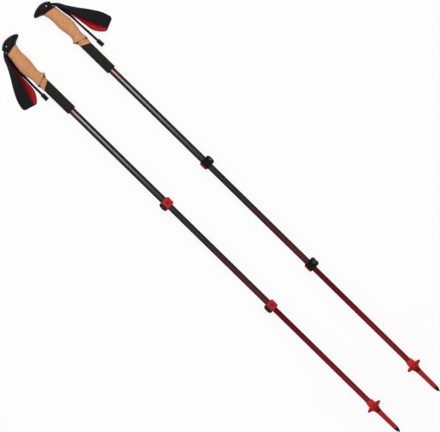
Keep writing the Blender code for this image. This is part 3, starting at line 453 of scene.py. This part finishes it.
def lining_finish(settings):
    """Brushed lining: fibres in soft patches, stitched edges, and painted shade near the pommel.
    """
    base = settings.lining
    finish = Finish("red_lining", base, 0.85, specular_ior_level=0.15)
    place = finish.place()
    along = finish.split(finish.uv("UVMap"))[0]
    edge = finish.split(finish.uv("Edge"))[1]
    fibre = finish.noise(place, 0.0008, 3.0)
    patch = finish.noise(place, 0.010, 2.0)
    colour = finish.mix(fibre.rise(0.3, 0.75), shade(base, 0.72), shade(base, 1.18))
    colour = finish.mix(patch.rise(0.35, 0.75) * 0.4, colour, shade(base, 1.3))
    thread = finish.stitches(along, edge, 0.0016, 0.0003)
    colour = finish.mix(thread * 0.7, colour, shade(base, 0.35))
    # Painted shade, darkening the lining towards the pommel.
    pommel_shade = 1.0 - finish.split(place)[0].rise(*LINING_SHADE)
    finish.set("Base Color", finish.mix(pommel_shade * 0.95, colour, shade(base, 0.06)))
    finish.bump(fibre + patch * 0.6 + edge.rise(0.0, 0.002), 0.0003, 0.6)
    return finish.material


def anodised_finish(name, colours, steps, fade=None, stripe=None):
    """Drawn and anodised tube: faint lines along it, painted shade on its sides, and colours in
    steps.

    steps are the (start, end) of each change from one colour to the next, along X. fade is
    (start, end, colour) of a tint that grows towards start. stripe goes with it, and is
    (start, end, colour) of a pale line along the top and the underside, reddish at its start,
    that stands partly for print and partly for a painted highlight.
    """
    finish = Finish(name, colours[0], 0.30, 0.85, specular_ior_level=0.1,
                    specular_tint=(0.1, 0.1, 0.1, 1.0))
    place = finish.place()
    along, across, _ = finish.split(place)
    streaks = finish.noise(finish.stretched(place, (0.02, 1.0, 1.0)), 0.0009, 3.0)
    cloud = finish.noise(finish.stretched(place, (0.3, 1.0, 1.0)), 0.02)
    colour = colours[0]
    for (start, end), following in zip(steps, colours[1:]):
        colour = finish.mix(along.rise(start, end), colour, following)
    aside = abs(finish.front_of(across))
    # Painted shade on the tube's sides.
    colour = finish.mix(aside.rise(*TUBE_SIDE_SHADE) * 0.45, colour, BLACK)
    if fade and stripe:
        start, end, tint = fade
        *ends, pale = stripe
        colour = finish.mix(1.0 - along.rise(start, end), colour, tint)
        # A pale stripe, partly print and partly a painted highlight that fades along the tube.
        print_and_highlight = finish.mix(along.rise(start, end + 0.03), shade(pale, 1.2, 0.82, 0.82), pale)
        width = 1.0 - aside.rise(*PRINT_AND_HIGHLIGHT_EDGE)
        colour = finish.mix(width * (1.0 - along.rise(*ends)), colour, print_and_highlight)
    finish.set("Base Color", finish.mix(streaks.rise(0.3, 0.7) * 0.25, colour, BLACK))
    finish.set("Roughness", 0.27 + streaks * 0.08 + cloud * 0.06)
    finish.bump(streaks, 0.00002, 0.4)
    return finish.material


def steel_finish(name, colour, roughness, grain=0.0006):
    finish = Finish(name, colour, roughness, 1.0)
    place = finish.place()
    texture = finish.noise(place, grain, 4.0)
    finish.set("Roughness", roughness - 0.06 + texture * 0.14)
    finish.set("Base Color", finish.mix(texture.rise(0.3, 0.7), shade(colour, 0.85), colour))
    finish.bump(texture, 0.00003, 0.4)
    return finish.material


# ---- modelling helpers -----------------------------------------------------------------------
def deselect():
    """Leaves nothing selected, because an operator acts on all that is."""
    if bpy.context.mode != "OBJECT":
        bpy.ops.object.mode_set(mode="OBJECT")
    bpy.ops.object.select_all(action="DESELECT")


def dress(material, *labels):
    """Gives frame nodes of each pole a finish, on merged and smoothed copies, by node name."""
    pieces = {}
    for label in labels:
        for side in POLES:
            name = side + "_" + label
            deselect()
            piece = bpy.data.objects.new(name + "_finished", NODES[name].data.copy())
            bpy.context.collection.objects.link(piece)
            bpy.context.view_layer.objects.active = piece
            piece.select_set(True)
            piece.data.materials.clear()
            piece.data.materials.append(material)
            bpy.ops.object.mode_set(mode="EDIT")
            bpy.ops.mesh.select_all(action="SELECT")
            bpy.ops.mesh.remove_doubles(threshold=0.000002)
            bpy.ops.object.mode_set(mode="OBJECT")
            if piece.data.has_custom_normals:
                bpy.ops.mesh.customdata_custom_splitnormals_clear()
            bpy.ops.object.shade_smooth_by_angle(angle=CAD_SMOOTH)
            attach(piece, BODY_OF[name])
            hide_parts(name)
            pieces[name] = piece
    return pieces


def named(name, material):
    """The object just added, with its name and finish."""
    piece = bpy.context.active_object
    piece.name = piece.data.name = name
    piece.data.materials.append(material)
    return piece


def apply_modifier(piece, kind, **settings):
    modifier = piece.modifiers.new(kind.title(), kind)
    for key, value in settings.items():
        setattr(modifier, key, value)
    bpy.ops.object.modifier_apply(modifier=modifier.name)


def round_edges(piece, width):
    apply_modifier(piece, "BEVEL", width=width, segments=2, limit_method="ANGLE",
                   angle_limit=SHARP)


def face_outwards():
    """Turns every face of the piece in edit mode outwards, and ends edit mode."""
    bpy.ops.mesh.select_all(action="SELECT")
    bpy.ops.mesh.normals_make_consistent(inside=False)
    bpy.ops.object.mode_set(mode="OBJECT")


def settle():
    """Leaves the object at the origin, with its place in its mesh."""
    bpy.ops.object.transform_apply(location=True, rotation=True, scale=True)
    bpy.ops.object.shade_smooth_by_angle(angle=SMOOTH)


def in_world(side, point):
    """A point of the side view, (below the crown, reach, height) in millimetres."""
    across, lift = POLES[side]
    below, reach, height = point
    return Vector((CROWN_X + below * MM, across + reach * MM * lift, AXIS_Z + height * MM))


def swung(side, point, angle):
    """The same, swung about the strap's hinge; a positive angle opens the strap."""
    pivot = in_world(side, (*HINGE, 0.0))
    lift = POLES[side][1]
    turn = Matrix.Rotation(-angle * lift, 3, "Z")
    return pivot + turn @ (in_world(side, point) - pivot)


def row_at(rows, where, closed):
    """Both edges of a band at a fractional row, on a smooth curve through the rows."""
    count = len(rows)
    base = math.floor(where)
    share = where - base
    picked = []
    for index in range(base - 1, base + 3):
        picked.append(rows[index % count] if closed else rows[max(0, min(count - 1, index))])
    edges = []
    for edge in range(2):
        a, b, c, d = (Vector(row[edge]) for row in picked)
        edges.append(0.5 * (2.0 * b + (c - a) * share + (2.0 * a - 5.0 * b + 4.0 * c - d)
                            * share ** 2 + (3.0 * b - a - 3.0 * c + d) * share ** 3))
    return edges


def band_rows(side, rows, first, last, angle, steps, closed=False):
    """World places of a band's edges between two rows, in so many steps a row."""
    count = int(round((last - first) * steps))
    result = []
    for index in range(count + 1):
        edges = row_at(rows, first + (last - first) * index / count, closed)
        result.append([swung(side, edge, angle) for edge in edges])
    return result


def lay_band(name, material, rows, thickness, closed=False, across=8, lift=0.0, crown=0.0,
             inset=0.0):
    """A band of cloth: a grid laid along its rows, then given its thickness and soft edges.

    lift moves it square to itself, and crown swells its middle further. UVMap holds metres
    along and across the band, and Edge holds metres along it and in from its nearer edge.
    """
    deselect()
    steps = len(rows) - 1
    bpy.ops.mesh.primitive_grid_add(x_subdivisions=steps, y_subdivisions=across, size=2.0)
    band = named(name, material)
    shape = bmesh.new()
    shape.from_mesh(band.data)
    flat = shape.loops.layers.uv.verify()
    edges = shape.loops.layers.uv.new("Edge")
    lengths = [0.0]
    middles = [(low + high) / 2.0 for low, high in rows]
    for here, after in zip(middles, middles[1:]):
        lengths.append(lengths[-1] + (after - here).length)
    cells = {}
    for vert in shape.verts:
        cells[vert] = (round((vert.co.x + 1.0) * steps / 2.0),
                       round((vert.co.y + 1.0) * across / 2.0))
    for face in shape.faces:
        for loop in face.loops:
            step, lane = cells[loop.vert]
            low, high = rows[step]
            width = (high - low).length * (1.0 - 2.0 * inset)
            share = lane / across
            loop[flat].uv = (lengths[step], share * width)
            loop[edges].uv = (lengths[step], min(share, 1.0 - share) * width)
    for vert, (step, lane) in cells.items():
        low, high = rows[step]
        if closed:
            ahead, behind = rows[(step + 1) % steps], rows[(step - 1) % steps]
        else:
            ahead, behind = rows[min(step + 1, steps)], rows[max(step - 1, 0)]
        run = (ahead[0] + ahead[1]) - (behind[0] + behind[1])
        square = run.cross(high - low).normalized()
        share = lane / across
        place = low.lerp(high, inset + (1.0 - 2.0 * inset) * share)
        vert.co = place + square * (lift + crown * math.sin(math.pi * share))
    shape.to_mesh(band.data)
    shape.free()
    bpy.ops.object.mode_set(mode="EDIT")
    bpy.ops.mesh.select_all(action="SELECT")
    bpy.ops.mesh.remove_doubles(threshold=0.000005)
    face_outwards()
    apply_modifier(band, "SOLIDIFY", thickness=thickness, offset=0.0, use_even_offset=True)
    round_edges(band, thickness * 0.3)
    settle()
    return band


# ---- sizes and colours that a user would change ----------------------------------------------
def colour_of(name, description, default):
    return FloatVectorProperty(name=name, description=description, subtype="COLOR", size=3,
                               min=0.0, max=1.0, default=default)


def length_of(name, description, default):
    return FloatProperty(name=name, description=description, subtype="DISTANCE",
                         unit="LENGTH", min=0.0, precision=5, default=default)


def power_of(name, description, default):
    return FloatProperty(name=name, description=description, unit="POWER", min=0.0,
                         default=default)


class StrapSettings(PropertyGroup):
    """The wrist straps."""
    webbing: colour_of("Webbing", "Colour of the woven strap", (0.0075, 0.0080, 0.0120))
    thread: colour_of("Thread", "Colour of the stitching and of worn yarn",
                      (0.020, 0.020, 0.026))
    lining: colour_of("Lining", "Colour of the brushed lining", (0.52, 0.010, 0.014))
    thickness: length_of("Webbing", "Thickness of the webbing", 0.0010)
    lining_thickness: length_of("Lining", "Thickness of the lining", 0.0006)
    yarn: length_of("Yarn", "Width of one warp yarn", 0.0009)


class GripSettings(PropertyGroup):
    """Cork, foam and the pommels."""
    cork: colour_of("Cork", "Main colour of the cork", (0.59, 0.275, 0.125))
    granule: length_of("Granule", "Size of the cork's granules", 0.0019)
    foam: colour_of("Foam", "Colour of the foam", (0.0150, 0.0120, 0.0115))
    foam_radius: length_of("Foam radius", "Outer radius of the foam", 0.013)
    foam_wall: length_of("Foam wall", "Thickness of the foam", 0.0037)
    pommel: colour_of("Pommel", "Colour of the pommels", (0.0030, 0.0030, 0.0038))


class ShaftSettings(PropertyGroup):
    """The three tubes of each pole."""
    upper: colour_of("Upper tube", "Colour of the thickest tube", (0.032, 0.033, 0.036))
    tint: colour_of("Tint", "Colour of the upper tube below the foam", (0.075, 0.028, 0.028))
    # The stripe stands partly for print and partly for a painted highlight.
    stripe: colour_of("Stripe", "Colour of the pale stripe on the thickest tube",
                      (0.28, 0.28, 0.29))
    middle: colour_of("Middle tube", "Colour of the middle tube's upper part",
                      (0.030, 0.029, 0.031))
    middle_low: colour_of("Middle tube, low", "Colour of the middle tube below the step",
                          (0.052, 0.024, 0.024))
    middle_end: colour_of("Middle tube, end", "Colour of the middle tube's lower end",
                          (0.085, 0.023, 0.021))
    lower: colour_of("Lower tube", "Colour of the thinnest tube's upper part",
                     (0.110, 0.008, 0.010))
    lower_low: colour_of("Lower tube, low", "Colour of the thinnest tube's lower part",
                         (0.210, 0.014, 0.014))


class LockSettings(PropertyGroup):
    """The lever locks."""
    lever: colour_of("Lever", "Colour of the levers", (0.40, 0.012, 0.019))
    clamp: colour_of("Clamp", "Colour of the clamps", (0.0040, 0.0040, 0.0045))
    steel: colour_of("Steel", "Colour of pins, nuts and screws", (0.30, 0.30, 0.31))


class TipSettings(PropertyGroup):
    """Ferrule, collar, basket and point."""
    basket: colour_of("Basket", "Colour of the baskets", (0.50, 0.013, 0.017))
    ferrule: colour_of("Ferrule", "Colour of the ferrules", (0.36, 0.013, 0.016))
    collar: colour_of("Collar", "Colour of the band below the basket", (0.14, 0.003, 0.003))
    point: colour_of("Point", "Colour of the carbide point", (0.010, 0.010, 0.011))


class StageSettings(PropertyGroup):
    """Floor, light and camera."""
    floor: colour_of("Floor", "Colour of the floor", (0.86, 0.86, 0.86))
    width: length_of("View width", "Width that the camera sees", 1.108)
    lens: FloatProperty(name="Lens", description="Focal length in millimetres",
                        unit="CAMERA", min=1.0, default=300.0)
    key: power_of("Key light", "Power of the main lamp in watts", 32.0)
    strip: power_of("Strip light", "Power of the lamp above the grips in watts", 6.0)
    sky: FloatProperty(name="Sky", description="Strength of the even light", min=0.0,
                       default=0.62)
    glow: FloatProperty(name="Floor glow", description="Share of the floor seen as white",
                        subtype="FACTOR", min=0.0, max=1.0, default=0.87)


GROUPS = {"straps": StrapSettings, "grips": GripSettings, "shafts": ShaftSettings,
          "locks": LockSettings, "tips": TipSettings, "stage": StageSettings}


class PoleSettings(PropertyGroup):
    """All settings of the pair."""
    straps: PointerProperty(type=StrapSettings)
    grips: PointerProperty(type=GripSettings)
    shafts: PointerProperty(type=ShaftSettings)
    locks: PointerProperty(type=LockSettings)
    tips: PointerProperty(type=TipSettings)
    stage: PointerProperty(type=StageSettings)


# ---- operators -------------------------------------------------------------------------------
class POLES_OT_wrist_loops(Operator):
    """Wrist loops with their brushed linings and sewn ends, and the webbing round the pins"""
    bl_idname = "poles.wrist_loops"
    bl_label = "Wrist loops"

    def execute(self, context):
        settings = context.scene.poles.straps
        webbing = woven_finish("webbing", settings.webbing, settings.thread, settings.yarn, True)
        lining = lining_finish(settings)
        for side, (swing, _) in SWINGS.items():
            lift = POLES[side][1]
            rows = band_rows(side, LOOP_ROWS, 0.0, len(LOOP_ROWS), swing, steps=6, closed=True)
            loop = lay_band(side + "_wrist_loop", webbing, rows, settings.thickness,
                            closed=True, across=10)
            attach(loop, side + "_strap")
            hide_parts(side + "_wrist_strap")

            lined = band_rows(side, LOOP_ROWS, *LINED, swing, steps=6, closed=True)
            inward = (settings.thickness + settings.lining_thickness) / 2.0 + 0.0001
            pad = lay_band(side + "_brushed_lining", lining, lined, settings.lining_thickness,
                           across=10, lift=-inward * lift, crown=-0.0005 * lift, inset=0.055)
            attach(pad, side + "_strap")
            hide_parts(side + "_strap_lining")

            root = lay_band(side + "_webbing_round_pin", webbing, self.root_rows(side),
                            settings.thickness * 0.96, across=6)
            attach(root, side + "_grip")
            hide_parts(side + "_strap_root")

            sewn = self.make_sewn_end(side, webbing)
            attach(sewn, side + "_grip")
        return {"FINISHED"}

    def make_sewn_end(self, side, material):
        """The thick end of the strap, which fills the slot's mouth behind the guide pin."""
        deselect()
        bpy.ops.mesh.primitive_circle_add(vertices=len(SEWN_END), fill_type="NGON")
        sewn = named(side + "_sewn_end", material)
        for vert, point in zip(sewn.data.vertices, SEWN_END):
            vert.co = in_world(side, (*point, 0.0))
        apply_modifier(sewn, "SOLIDIFY", thickness=SEWN_WIDTH, offset=0.0)
        bpy.ops.object.mode_set(mode="EDIT")
        face_outwards()
        round_edges(sewn, 0.0006)
        settle()
        return sewn

    def root_rows(self, side):
        """Out of the slot, round the strap pin and out again."""
        path = [ROOT_ENDS[0]]
        for index in range(25):
            angle = math.radians(205.0 - 230.0 * index / 24.0)
            path.append((PIN[0] + PIN_REACH * math.cos(angle),
                         PIN[1] + PIN_REACH * math.sin(angle)))
        path.append(ROOT_ENDS[1])
        return [[in_world(side, (*point, -ROOT_SIDE)), in_world(side, (*point, ROOT_SIDE))]
                for point in path]


class POLES_OT_strap_tails(Operator):
    """Loose ends of the straps, with moulded tabs"""
    bl_idname = "poles.strap_tails"
    bl_label = "Strap tails"

    def execute(self, context):
        settings = context.scene.poles.straps
        webbing = woven_finish("tail_webbing", settings.webbing, settings.thread, settings.yarn,
                               False)
        plastic = moulded_finish("tab_plastic", (0.004, 0.004, 0.005), 0.5)
        for side, (_, swing) in SWINGS.items():
            lean, longer = TAIL_SHAPES[side]
            start = TAIL_ROWS[0][0][0]
            shape = []
            for (low, high), share in zip(TAIL_ROWS, TAIL_LEAN):
                high = (high[0], high[1] + lean * share, high[2])
                shape.append([(start + (below - start) * longer, reach, height)
                              for below, reach, height in (low, high)])
            rows = band_rows(side, shape, 0.0, len(shape) - 1, swing, steps=10)
            tail = lay_band(side + "_loose_tail", webbing, rows, settings.thickness)
            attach(tail, side + "_strap")
            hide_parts(side + "_strap_tail")
            tab = self.make_tab(side, plastic, (rows[-1][0] + rows[-1][1]) / 2.0, swing)
            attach(tab, side + "_strap")
            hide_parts(side + "_tail_tab")
        return {"FINISHED"}

    def make_tab(self, side, material, end, swing):
        """A bevelled block with three finger grooves round it."""
        turn = -swing * POLES[side][1]
        forward = Matrix.Rotation(turn, 3, "Z") @ Vector((1.0, 0.0, 0.0))
        middle = end + forward * (TAB_SIZE[0] / 2.0 + 0.0003)
        deselect()
        bpy.ops.mesh.primitive_cube_add(size=1.0, location=middle, rotation=(0.0, 0.0, turn))
        tab = named(side + "_moulded_tab", material)
        tab.scale = TAB_SIZE
        bpy.ops.object.transform_apply(location=True, rotation=True, scale=True)
        apply_modifier(tab, "BEVEL", width=0.0020, segments=4)
        bpy.ops.object.mode_set(mode="EDIT")
        for groove in GROOVES:
            for cut in GROOVE_CUTS:
                bpy.ops.mesh.select_all(action="SELECT")
                bpy.ops.mesh.bisect(plane_co=middle + forward * (groove + cut),
                                    plane_no=forward)
        bpy.ops.object.mode_set(mode="OBJECT")
        for vert in tab.data.vertices:
            offset = vert.co - middle
            along = offset.dot(forward)
            if min(abs(along - groove) for groove in GROOVES) < GROOVE_HALF:
                vert.co = middle + forward * along + (offset - forward * along) * GROOVE_SHARE
        settle()
        return tab


class POLES_OT_grips(Operator):
    """Cork and pommels in their finishes, and the foam below the cork"""
    bl_idname = "poles.grips"
    bl_label = "Grips"

    def execute(self, context):
        settings = context.scene.poles.grips
        dress(cork_finish(settings), "cork_grip")
        pommel = moulded_finish("pommel_plastic", settings.pommel, 0.42, grain=0.0009, gloss=0.10)
        pieces = dress(pommel, "pommel", "strap_wedge")
        foam = foam_finish(settings)
        for side in POLES:
            self.close_seams(side, pieces[side + "_pommel"], pieces[side + "_strap_wedge"])
            piece = self.make_foam(side, foam, settings)
            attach(piece, side + "_grip")
            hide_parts(side + "_foam_grip")
        return {"FINISHED"}

    def close_seams(self, side, pommel, wedge):
        """Brings the pommel down to the cork, rounds its beak, and lifts the wedge's top."""
        front, rear = (in_world(side, (*point, 0.0)) for point in POMMEL_END)
        square = (rear - front).cross(Vector((0.0, 0.0, 1.0))).normalized()
        for vert in pommel.data.vertices:
            if abs((vert.co - front).dot(square)) < 0.00005:
                vert.co.x += SEAM_GAP
        for vert in wedge.data.vertices:
            if vert.co.x < WEDGE_TOP:
                vert.co.x -= WEDGE_RISE
        across, lift = POLES[side]
        deselect()
        bpy.context.view_layer.objects.active = pommel
        pommel.select_set(True)
        bpy.ops.object.mode_set(mode="EDIT")
        bpy.ops.mesh.select_mode(type="FACE")
        bpy.ops.mesh.select_all(action="DESELECT")
        shape = bmesh.from_edit_mesh(pommel.data)
        for face in shape.faces:
            face.select = (face.calc_center_median().y - across) * lift > BEAK_FROM
        shape.select_flush_mode()
        bmesh.update_edit_mesh(pommel.data)
        bpy.ops.mesh.subdivide(number_cuts=2)
        bpy.ops.mesh.vertices_smooth(factor=0.5, repeat=5)
        bpy.ops.object.mode_set(mode="OBJECT")
        bpy.ops.object.shade_smooth_by_angle(angle=SMOOTH)

    def make_foam(self, side, material, settings):
        """A sleeve whose top is cut to the cork's slanted end and whose low end is rounded."""
        across = POLES[side][0]
        high = CORK_END[0][0] - 12.0    # the slanted cut takes off what stands above the cork
        length = (FOAM_LOW - high) * MM
        deselect()
        bpy.ops.mesh.primitive_cylinder_add(
            vertices=64, radius=settings.foam_radius, depth=length, end_fill_type="NOTHING",
            location=(CROWN_X + high * MM + length / 2.0, across, AXIS_Z),
            rotation=(0.0, math.pi / 2.0, 0.0))
        foam = named(side + "_foam_sleeve", material)
        bpy.ops.object.transform_apply(location=True, rotation=True, scale=True)
        apply_modifier(foam, "SOLIDIFY", thickness=settings.foam_wall, offset=-1.0)
        front, rear = (in_world(side, (*point, 0.0)) for point in CORK_END)
        down = (rear - front).cross(Vector((0.0, 0.0, 1.0))).normalized()
        if down.x < 0.0:
            down.negate()
        bpy.ops.object.mode_set(mode="EDIT")
        bpy.ops.mesh.select_all(action="SELECT")
        bpy.ops.mesh.bisect(plane_co=front + down * SEAM_GAP, plane_no=down, use_fill=True,
                            clear_inner=True)
        bpy.ops.mesh.select_all(action="DESELECT")
        shape = bmesh.from_edit_mesh(foam.data)
        end = CROWN_X + FOAM_LOW * MM
        axis = Vector((0.0, across, AXIS_Z))
        for edge in shape.edges:
            edge.select = all(
                abs(vert.co.x - end) < 0.00001 and
                (Vector((0.0, vert.co.y, vert.co.z)) - axis).length > settings.foam_radius * 0.9
                for vert in edge.verts)
        bmesh.update_edit_mesh(foam.data)
        bpy.ops.mesh.bevel(offset=0.0018, segments=4)
        face_outwards()
        settle()
        return foam


class POLES_OT_shafts(Operator):
    """Anodised tubes with their colour steps, and the bushes inside them"""
    bl_idname = "poles.shafts"
    bl_label = "Shafts"

    def execute(self, context):
        settings = context.scene.poles.shafts
        dress(anodised_finish("upper_tube", (settings.upper,), (),
                              (*UPPER_TINT, settings.tint), (*UPPER_PRINT_AND_HIGHLIGHT, settings.stripe)),
              "upper_shaft")
        middle = (settings.middle, settings.middle_low, settings.middle_end)
        dress(anodised_finish("middle_tube", middle, MIDDLE_STEPS), "mid_shaft")
        lower = (settings.lower, settings.lower_low)
        dress(anodised_finish("lower_tube", lower, LOWER_STEPS), "lower_shaft")
        dress(moulded_finish("bush_plastic", (0.09, 0.09, 0.09), 0.6), "mid_bush", "lower_bush")
        return {"FINISHED"}


class POLES_OT_locks(Operator):
    """Levers, clamps and steel pieces of the locks"""
    bl_idname = "poles.locks"
    bl_label = "Locks"

    def execute(self, context):
        settings = context.scene.poles.locks
        dress(lever_finish(settings), "upper_lever", "lower_lever")
        dress(moulded_finish("clamp_plastic", settings.clamp, 0.45, gloss=0.06),
              "upper_clamp", "lower_clamp")
        dress(steel_finish("steel", settings.steel, 0.42), "strap_pin", "guide_pin")
        dress(steel_finish("dark_steel", shade(settings.steel, 0.22), 0.5),
              "upper_tension_screw", "lower_tension_screw")
        dress(steel_finish("black_steel", shade(settings.steel, 0.03), 0.5),
              "upper_barrel_nut", "lower_barrel_nut")
        return {"FINISHED"}


class POLES_OT_tips(Operator):
    """Ferrules, collars, baskets and points"""
    bl_idname = "poles.tips"
    bl_label = "Tips"

    def execute(self, context):
        settings = context.scene.poles.tips
        dress(basket_finish(settings), "basket")
        dress(moulded_finish("ferrule_plastic", settings.ferrule, 0.42), "tip_ferrule")
        dress(moulded_finish("collar_plastic", settings.collar, 0.50, gloss=0.06), "tip_collar")
        dress(steel_finish("carbide", settings.point, 0.5, grain=0.0003), "carbide_tip")
        return {"FINISHED"}


class POLES_OT_stage(Operator):
    """Pale floor, soft light and the camera above the poles"""
    bl_idname = "poles.stage"
    bl_label = "Stage"

    def execute(self, context):
        settings = context.scene.poles.stage
        self.make_floor(settings)
        self.make_sky(context.scene, settings)
        self.make_lamp("Key", (-1.8, 0.9, 2.6), (1.8, 1.8), settings.key)
        self.make_lamp("Fill", (1.2, -1.8, 2.6), (2.4, 2.4), settings.key * 0.35)
        self.make_lamp("Strip", (-0.65, 0.0, 2.2), (0.7, 0.35), settings.strip)
        self.make_camera(context.scene, settings)
        context.scene.view_settings.view_transform = "Standard"
        return {"FINISHED"}

    def make_floor(self, settings):
        """A pale floor that the camera sees nearly white, and that keeps the poles' shadow."""
        deselect()
        bpy.ops.mesh.primitive_plane_add(size=24.0)
        finish = Finish("floor", settings.floor, 0.9, specular_ior_level=0.1)
        finish.set("Roughness", 0.86 + finish.noise(finish.place(), 0.05) * 0.08)
        floor = named("floor", finish.material)
        rays = finish.node("ShaderNodeLightPath").socket.node.outputs
        seen = Value(finish, rays["Is Camera Ray"]) + Value(finish, rays["Is Glossy Ray"])
        glow = finish.node("ShaderNodeEmission", inputs={"Color": WHITE})
        share = (seen + Value(finish, rays["Is Transmission Ray"])) * settings.glow
        output = finish.tree.nodes["Material Output"]
        surface = finish.node("ShaderNodeMixShader", inputs={
            0: share, 1: Value(finish, finish.shader.outputs[0]), 2: glow})
        finish.feed(output.inputs["Surface"], surface)

    def make_sky(self, scene, settings):
        """Even light all round, which the camera and reflections see as white."""
        world = bpy.data.worlds.new("Even light")
        scene.world = world
        world.use_nodes = True
        tree = world.node_tree
        light = tree.nodes["Background"]
        light.inputs["Color"].default_value = WHITE
        light.inputs["Strength"].default_value = settings.sky
        white = tree.nodes.new("ShaderNodeBackground")
        white.inputs["Color"].default_value = WHITE
        rays = tree.nodes.new("ShaderNodeLightPath")
        mix = tree.nodes.new("ShaderNodeMixShader")
        seen = rays.outputs["Is Camera Ray"]
        for kind in ("Is Glossy Ray", "Is Transmission Ray"):
            either = tree.nodes.new("ShaderNodeMath")
            either.operation = "MAXIMUM"
            tree.links.new(seen, either.inputs[0])
            tree.links.new(rays.outputs[kind], either.inputs[1])
            seen = either.outputs[0]
        tree.links.new(seen, mix.inputs[0])
        tree.links.new(light.outputs[0], mix.inputs[1])
        tree.links.new(white.outputs[0], mix.inputs[2])
        tree.links.new(mix.outputs[0], tree.nodes["World Output"].inputs["Surface"])

    def make_lamp(self, name, place, size, power):
        """A lamp that faces the poles, or straight down where it is narrow."""
        deselect()
        aim = -Vector(place) if size[0] == size[1] else Vector((0.0, 0.0, -1.0))
        turn = aim.to_track_quat("-Z", "Y").to_euler()
        bpy.ops.object.light_add(type="AREA", location=place, rotation=turn)
        lamp = bpy.context.active_object
        lamp.name = name
        lamp.data.shape = "RECTANGLE"
        lamp.data.size, lamp.data.size_y = size
        lamp.data.energy = power

    def make_camera(self, scene, settings):
        """A long lens that looks straight down on the poles."""
        deselect()
        height = settings.width * settings.lens / SENSOR + AXIS_Z
        bpy.ops.object.camera_add(location=(*CAMERA_OVER, height),
                                  rotation=(0.0, 0.0, CAMERA_TURN))
        camera = bpy.context.active_object
        camera.name = "Camera"
        camera.data.sensor_width = SENSOR
        camera.data.lens = settings.lens
        camera.data.clip_end = 100.0
        scene.camera = camera


OPERATORS = (POLES_OT_wrist_loops, POLES_OT_strap_tails, POLES_OT_grips, POLES_OT_shafts,
             POLES_OT_locks, POLES_OT_tips, POLES_OT_stage)


class POLES_PT_sidebar(Panel):
    """Lists the pieces and their settings"""
    bl_idname = "POLES_PT_sidebar"
    bl_label = "Trekking poles"
    bl_space_type = "VIEW_3D"
    bl_region_type = "UI"
    bl_category = "Poles"

    def draw(self, context):
        for operator in OPERATORS:
            self.layout.operator(operator.bl_idname)
        for label, group in GROUPS.items():
            box = self.layout.box()
            box.label(text=label.title())
            for setting in group.__annotations__:
                box.prop(getattr(context.scene.poles, label), setting)


CLASSES = (*GROUPS.values(), PoleSettings, *OPERATORS, POLES_PT_sidebar)


def register():
    for cls in CLASSES:
        bpy.utils.register_class(cls)
    bpy.types.Scene.poles = PointerProperty(type=PoleSettings)


def unregister():
    del bpy.types.Scene.poles
    for cls in reversed(CLASSES):
        bpy.utils.unregister_class(cls)


def main():
    register()
    bpy.ops.poles.stage()
    bpy.ops.poles.wrist_loops()
    bpy.ops.poles.strap_tails()
    bpy.ops.poles.grips()
    bpy.ops.poles.shafts()
    bpy.ops.poles.locks()
    bpy.ops.poles.tips()


if __name__ == "__main__":
    main()
